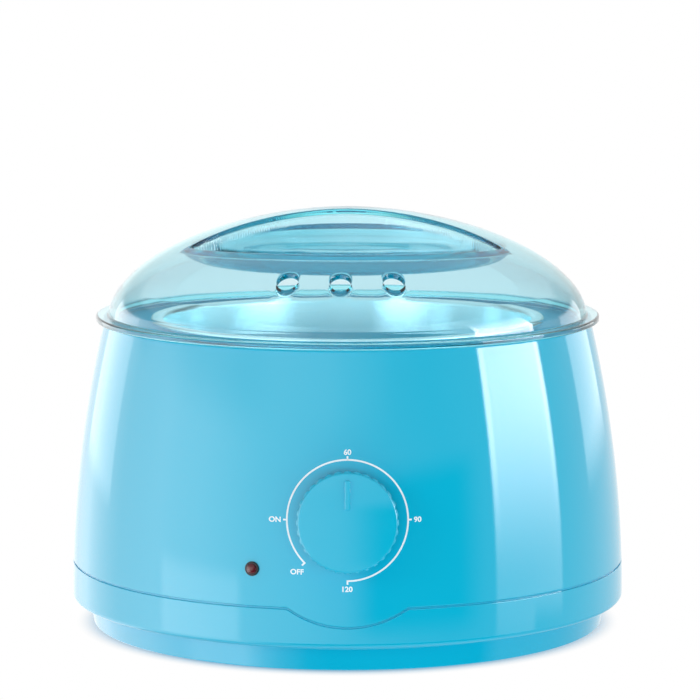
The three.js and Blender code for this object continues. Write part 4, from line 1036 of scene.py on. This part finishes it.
def build_lid():
    count = 240
    outer_rim, inner_rim = 76.0, 74.0
    line = rounded([
        *dome_rows(0, outer_rim),
        (dome_radius, lid_top_z, 0.5),
        (lid_flange_radius, lid_top_z, 0.75),
        (lid_flange_radius, lid_bottom_z, 0.55),
        (lid_ring_radius, lid_bottom_z, 0.2),
        (lid_ring_radius, lid_ring_bottom_z, 0.4),
        (dome_radius - lid_wall, lid_ring_bottom_z, 0.4),
        (dome_radius - lid_wall, lid_top_z),
        *dome_rows(lid_wall, inner_rim)[::-1],
    ], 6)
    skirt = lathe(line, count)
    outer_skin, inner_skin = lid_skin(0, outer_rim, count), lid_skin(lid_wall, inner_rim, count)
    tubes = []
    for vx, vy in vent_spots():
        x, y = np.array(ring_spots(vent_count, vent_radius, 0.0, vx, vy)).T
        high = lid_height(x, y, 0) - vent_rim_drop(x, y)
        low = lid_height(x, y, lid_wall) + vent_rim_drop(x, y)
        rings = [list(zip(x, y, high + (low - high) * level / 3)) for level in range(4)]
        tubes.append(stacked(rings, ends=False))
    shape = joined(skirt, outer_skin, inner_skin, *tubes)
    return mesh_object("clear_cover", *shape, clear_lid, Matrix.Rotation(lid_turn, 4, "Z"), smooth_to=60)


# Dial: white lines and figures on the wall round the knob

dial_radius = 19.0
ink = 0.03


def on_wall(u, v, lift):
    """A spot of the dial, across and up from the knob's axis, on the wall's surface."""
    z = knob_z + v * cos(wall_tilt(knob_z))
    radius = wall_radius(z) + lift
    return u, -sqrt(radius**2 - u**2), z


def ink_line(path, width):
    """A flat printed line along a path of (u, v)."""
    path = [Vector(p) for p in path]
    rings = []
    for i, spot in enumerate(path):
        way = (path[min(i + 1, len(path) - 1)] - path[max(i - 1, 0)]).normalized()
        side = Vector((-way.y, way.x)) * width / 2
        corners = (side, ink), (-side, ink), (-side, -ink), (side, -ink)
        rings.append([on_wall(*(spot + edge), lift) for edge, lift in corners])
    return stacked(rings)


def dial_spot(radius, degrees):
    """A spot at degrees clockwise from the top."""
    angle = radians(degrees)
    return radius * sin(angle), radius * cos(angle)


def ink_words(words, centre, height, stretch):
    """Figures or letters, with their middle at centre."""
    text = bpy.data.curves.new("figures", "FONT")
    text.body = words
    text.offset = 0.03
    text.extrude = 1.0
    text.resolution_u = 6
    letters = add_object("figures", text)
    mesh = bpy.data.meshes.new_from_object(letters.evaluated_get(bpy.context.evaluated_depsgraph_get()))
    spots = np.array([tuple(v.co) for v in mesh.vertices])
    low, high = spots.min(0), spots.max(0)
    middle = (low + high) / 2
    scale = height / (high[1] - low[1])
    points = []
    for x, y, z in spots:
        across = centre[0] + (x - middle[0]) * scale * stretch
        up = centre[1] + (y - middle[1]) * scale
        points.append(on_wall(across, up, ink if z > 0 else -ink))
    faces = [tuple(p.vertices) for p in mesh.polygons]
    bpy.data.objects.remove(letters)
    bpy.data.curves.remove(text)
    bpy.data.meshes.remove(mesh)
    return points, faces


def build_dial():
    line, tick = 0.55, 1.15
    shapes = [ink_line([dial_spot(dial_radius, a) for a in np.linspace(-135, 180, 161)], line)]
    for degrees in (-135, -90, 0, 90, 180):
        reaches = (-line / 2, tick / 2, tick)
        shapes.append(ink_line([dial_spot(dial_radius + reach, degrees) for reach in reaches], line))
    for words, spot in (
        ("60", (0, 21.4)), ("90", (22.0, 0)), ("120", (0, -21.6)), ("ON", (-22.8, 0)),
        ("OFF", (-15.8, -16.3)),
    ):
        shapes.append(ink_words(words, spot, height=1.75, stretch=1.05))
    return mesh_object("dial_print", *joined(*shapes), dial_white, smooth_to=20)


# Assembly

def dress(piece, body, slot, *nodes):
    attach(piece, body)
    if nodes:
        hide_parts(*nodes)


dress(build_housing(), "body", "blue_body", "housing_shell")
dress(build_base(), "body", "blue_body", "base_pan")
dress(build_feet(), "body", "rubber", "foot_1", "foot_2", "foot_3", "foot_4")
dress(
    build_screws(head=3.6, head_height=2.4, seat_z=7.2, shank=1.8, length=16), "body", "steel",
    "base_screw_1", "base_screw_2", "base_screw_3", "base_screw_4",
)
knob_body, knob_pointer = build_knob()
dress(knob_body, "knob", "blue_body", "control_knob")
dress(knob_pointer, "knob", "blue_body")
lamp_ring, lamp_cap = build_lamp()
dress(lamp_ring, "body", "black_plastic", "lamp_bezel")
dress(lamp_cap, "body", "red_lens", "lamp_lens")
dress(build_gland(), "body", "black_plastic", "cord_gland")
dress(build_pot(), "pot", "aluminium", "wax_pot")
dress(build_cup(), "body", "aluminium", "heater_cup")
dress(build_lid(), "lid", "clear_blue", "lid")
dress(build_dial(), "body", "blue_body")


# Studio

def shows_background(graph):
    """1 for rays that show a background: the camera's, reflections and what goes through clear plastic."""
    path = graph.add("LightPath").outputs
    seen = graph.math("MAXIMUM", path["Is Camera Ray"], path["Is Glossy Ray"])
    return graph.math("MAXIMUM", seen, path["Is Transmission Ray"])


def stage_mesh(name, points, faces, material):
    mesh = bpy.data.meshes.new(name)
    mesh.from_pydata(points, [], faces)
    mesh.materials.append(material)
    thing = add_object(name, mesh)
    return thing


def build_world():
    """Even light from all round. A view, a reflection or clear plastic shows it as white."""
    world = bpy.data.worlds.new("studio")
    scene.world = world
    world.use_nodes = True
    graph = Graph(world.node_tree)
    lit = graph.add("Background", {"Color": (1, 1, 1, 1), "Strength": world_light})
    white = graph.add("Background", {"Color": (1, 1, 1, 1), "Strength": 1.0})
    shown = graph.either(shows_background(graph), lit, white)
    graph.add("OutputWorld", {"Surface": shown})


def build_floor():
    """A table lit from inside. It keeps the shadow near the warmer and is plain white further off."""
    paper = Material("white_table")
    # Its bluish colour paints a blue tint into the shadow near the warmer.
    lit = paper.add("BsdfDiffuse", {"Color": (*table_and_shadow_blue, 1)})
    white = paper.add("Emission")
    reach = paper.length(paper.place)
    bounced = paper.add("LightPath").outputs["Is Diffuse Ray"]
    glow = paper.math("MULTIPLY", bounced, paper.stepped(reach, *table_glow_span, *table_glow))
    fade = paper.stepped(reach, *shadow_fade)
    share = paper.math("MULTIPLY_ADD", fade, shows_background(paper), glow)
    half = 4.0
    corners = [(-half, -half, 0), (half, -half, 0), (half, half, 0), (-half, half, 0)]
    table = stage_mesh("table", corners, [(0, 1, 2, 3)], paper.show(paper.either(share, lit, white)))
    table.visible_glossy = False


def round_spot(degrees, distance, height):
    """Degrees are from the camera's side, positive towards the right."""
    angle = radians(degrees)
    return distance * sin(angle), -distance * cos(angle), height


def curve_across(graph, angle, spots):
    """A value that follows (degrees, value) spots round the warmer."""
    first, last = spots[0][0], spots[-1][0]
    most = max(value for _, value in spots)
    along = graph.ranged(angle, 0.0, 1.0, radians(first), radians(last))
    follow = graph.add("FloatCurve", {"Value": along})
    curve = follow.mapping.curves[0]
    ends = [((degrees - first) / (last - first), value / most) for degrees, value in spots]
    curve.points[0].location, curve.points[1].location = ends[0], ends[-1]
    for spot in ends[1:-1]:
        curve.points.new(*spot)
    for point in curve.points:
        point.handle_type = "VECTOR"
    follow.mapping.update()
    return graph.math("MULTIPLY", follow, most)


def wall_glow(curves, heights, boards, under_lid):
    """What reflections see of the wall. Straight through clear plastic it is white.

    curves are brightness against degrees, from the lowest up, and heights are the spans that blend one into
    the next. A board is (first and last degree, softness, bottom, top, softness, brightness). It adds light,
    or below zero takes that share away. What is reflected under the lid sees the curve under_lid.
    """
    glow = Material("reflection_wall")
    split = glow.add("SeparateXYZ", {0: glow.place}).outputs
    height = split["Z"]
    angle = glow.math("ARCTAN2", split["X"], glow.math("MULTIPLY", split["Y"], -1))
    total = curve_across(glow, angle, curves[0])
    for curve, (start, end) in zip(curves[1:], heights):
        total = glow.mixed(glow.stepped(height, start, end), total, curve_across(glow, angle, curve))
    for first, last, soft_side, bottom, top, soft_end, brightness in boards:
        across = glow.between(angle, radians(first), radians(last), radians(soft_side))
        share = glow.math("MULTIPLY", across, glow.between(height, bottom, top, soft_end))
        if brightness < 0:
            left = glow.math("MULTIPLY_ADD", share, brightness, 1.0)
            total = glow.math("MULTIPLY", total, left)
        else:
            total = glow.math("MULTIPLY_ADD", share, brightness, total)
    path = glow.add("LightPath").outputs
    through_lid = glow.math("MINIMUM", path["Transmission Depth"], 1.0)
    total = glow.mixed(through_lid, total, curve_across(glow, angle, under_lid))
    reflected = glow.math("MINIMUM", path["Glossy Depth"], 1.0)
    return glow.show(glow.add("Emission", {"Strength": glow.mixed(reflected, 1.0, total)}))


def reflection_wall(material):
    """A wall round the warmer, with a narrow gap at the back."""
    steps = 120
    rows = (-wall_half_height, 0.0, wall_half_height)
    turns = [wall_end * (2 * i / steps - 1) for i in range(steps + 1)]
    points = [round_spot(degrees, wall_distance, row) for degrees in turns for row in rows]
    faces = [(3 * i + j, 3 * i + 3 + j, 3 * i + 4 + j, 3 * i + 1 + j) for i in range(steps) for j in range(2)]
    wall = stage_mesh("reflection_wall", points, faces, material)
    wall.visible_camera = wall.visible_diffuse = wall.visible_shadow = False


def softbox(name, spot, width, height, radiance):
    """A soft lamp aimed at the warmer. Reflections show the wall in its place."""
    lamp = bpy.data.lights.new(name, "AREA")
    lamp.shape = "RECTANGLE"
    lamp.size, lamp.size_y = width, height
    lamp.energy = radiance * pi * width * height
    holder = add_object(name, lamp)
    holder.location = spot
    holder.rotation_euler = (Vector(lamp_target) - Vector(spot)).to_track_quat("-Z", "Y").to_euler()
    holder.visible_camera = holder.visible_transmission = holder.visible_glossy = False


def build_camera():
    """The photo's camera, fitted in pixels of a square picture."""
    data = bpy.data.cameras.new("photo_view")
    data.sensor_width = 36
    data.lens = data.sensor_width * focal_pixels / picture_pixels
    data.shift_x = (picture_pixels / 2 - middle_pixel) / picture_pixels
    camera = add_object("photo_view", data)
    camera.location = camera_spot
    camera.rotation_euler = (pi / 2 - camera_tilt, 0, 0)
    scene.camera = camera


# The studio's sizes are metres and its turns degrees. The camera's tilt is radians and its lens is pixels

world_light = 0.5
# The table's lit colour is bluish so that the shadow near the warmer shows a painted blue tint of bounced
# light.
table_and_shadow_blue = (0.7, 0.82, 0.92)
table_glow = 0.6, 0.78
table_glow_span = 0.07, 0.13
shadow_fade = 0.079, 0.092
lamp_target = (0, 0, 0.06)
wall_end = 178
wall_distance = 1.1
wall_half_height = 0.95
picture_pixels = 700
focal_pixels = 3649.58
middle_pixel = 347.48
camera_spot = (0, -1.215, 0.25242)
camera_tilt = 0.13178

build_world()
build_floor()
softbox("top_lamp", (0, 0.15, 1.2), 0.6, 0.6, 0.8)
softbox("key_lamp", round_spot(-45, 1.2, 0.45), 0.36, 0.36, 4.0)
softbox("front_lamp", round_spot(6, 1.25, 0.12), 1.1, 0.22, 4.2)
softbox("left_lamp", round_spot(-72, 1.2, 0.14), 0.8, 0.26, 1.0)
softbox("right_lamp", round_spot(70, 1.2, 0.14), 0.8, 0.26, 4.0)

plinth_curve = [
    (-178, 1), (-125, 2.6), (-100, 3.3), (-80, 3.2), (-70, 4.1), (-48, 4.0), (-38, 1.9), (-30, 0.9),
    (-18, 0.1), (-8, 0), (62, 0), (72, 0.7), (130, 0.7), (178, 1),
]
body_curve = [
    (-178, 1), (-150, 1.7), (-135, 2.7), (-106, 2.7), (-95, 3.3), (-82, 4.1), (-62, 4.0),
    (-50, 3.5), (-36, 2.75), (-18, 2.15), (-8, 1.7), (1, 1.35), (14, 0.95), (26, 0.75), (40, 0.62),
    (57, 0.75), (98, 1.1), (125, 1.2), (150, 1.1), (178, 1),
]
upper_curve = [
    (-178, 1.05), (-152, 1.05), (-138, 0.5), (-106, 0.5), (-98, 2.8), (-90, 3.1), (-60, 2.8), (-45, 2.3),
    (-30, 2.5), (-8, 2.1), (1, 1.6), (14, 1.1), (20, 0.8), (35, 0.6), (57, 0.8), (98, 1.1), (106, 0.5),
    (138, 0.5), (152, 1.05), (178, 1.05),
]
far_up_curve = [
    (-178, 1.1), (-152, 1.2), (-138, 1.2), (-100, 1.1), (-60, 1.3), (0, 1.2), (60, 1.0), (100, 1.0),
    (138, 1.1), (178, 1.1),
]
under_lid_curve = [
    (-178, 1.1), (-144, 0.3), (-103, 1.3), (-78, 1.5), (-58, 2.0), (-44, 5.2), (-28, 5.2), (-16, 1.9),
    (20, 1.9), (34, 2.0), (48, 5.0), (64, 4.6), (76, 1.9), (103, 2.2), (122, 0.5), (144, 0.0), (178, 1.1),
]
curves = [plinth_curve, body_curve, upper_curve, far_up_curve]
curve_heights = [(-0.45, -0.22), (0.2, 0.36), (0.5, 0.6)]
boards = [
    (-79, -43, 4, -0.3, -0.06, 0.05, 1.4),
    (-145, -115, 2, -0.03, 0.3, 0.05, 1.1),
    (5, 51, 16, -0.17, 0.18, 0.08, -1.0),
    (61, 80, 3, -0.26, -0.16, 0.06, 1.0),
    (61, 96, 2, -0.16, 0.45, 0.08, 1.6),
    (61, 96, 2, 0.1, 0.56, 0.46, 10.0),
    (61, 63.5, 1, 0.1, 0.56, 0.3, 3.5),
    (93.5, 96, 1, 0.1, 0.56, 0.3, 3.5),
    (119, 146, 2, 0.0, 0.3, 0.08, 1.6),
]
reflection_wall(wall_glow(curves, curve_heights, boards, under_lid_curve))

build_camera()
scene.view_settings.view_transform = "Standard"
scene.cycles.max_bounces = 24
scene.cycles.glossy_bounces = 16
scene.cycles.transmission_bounces = 24
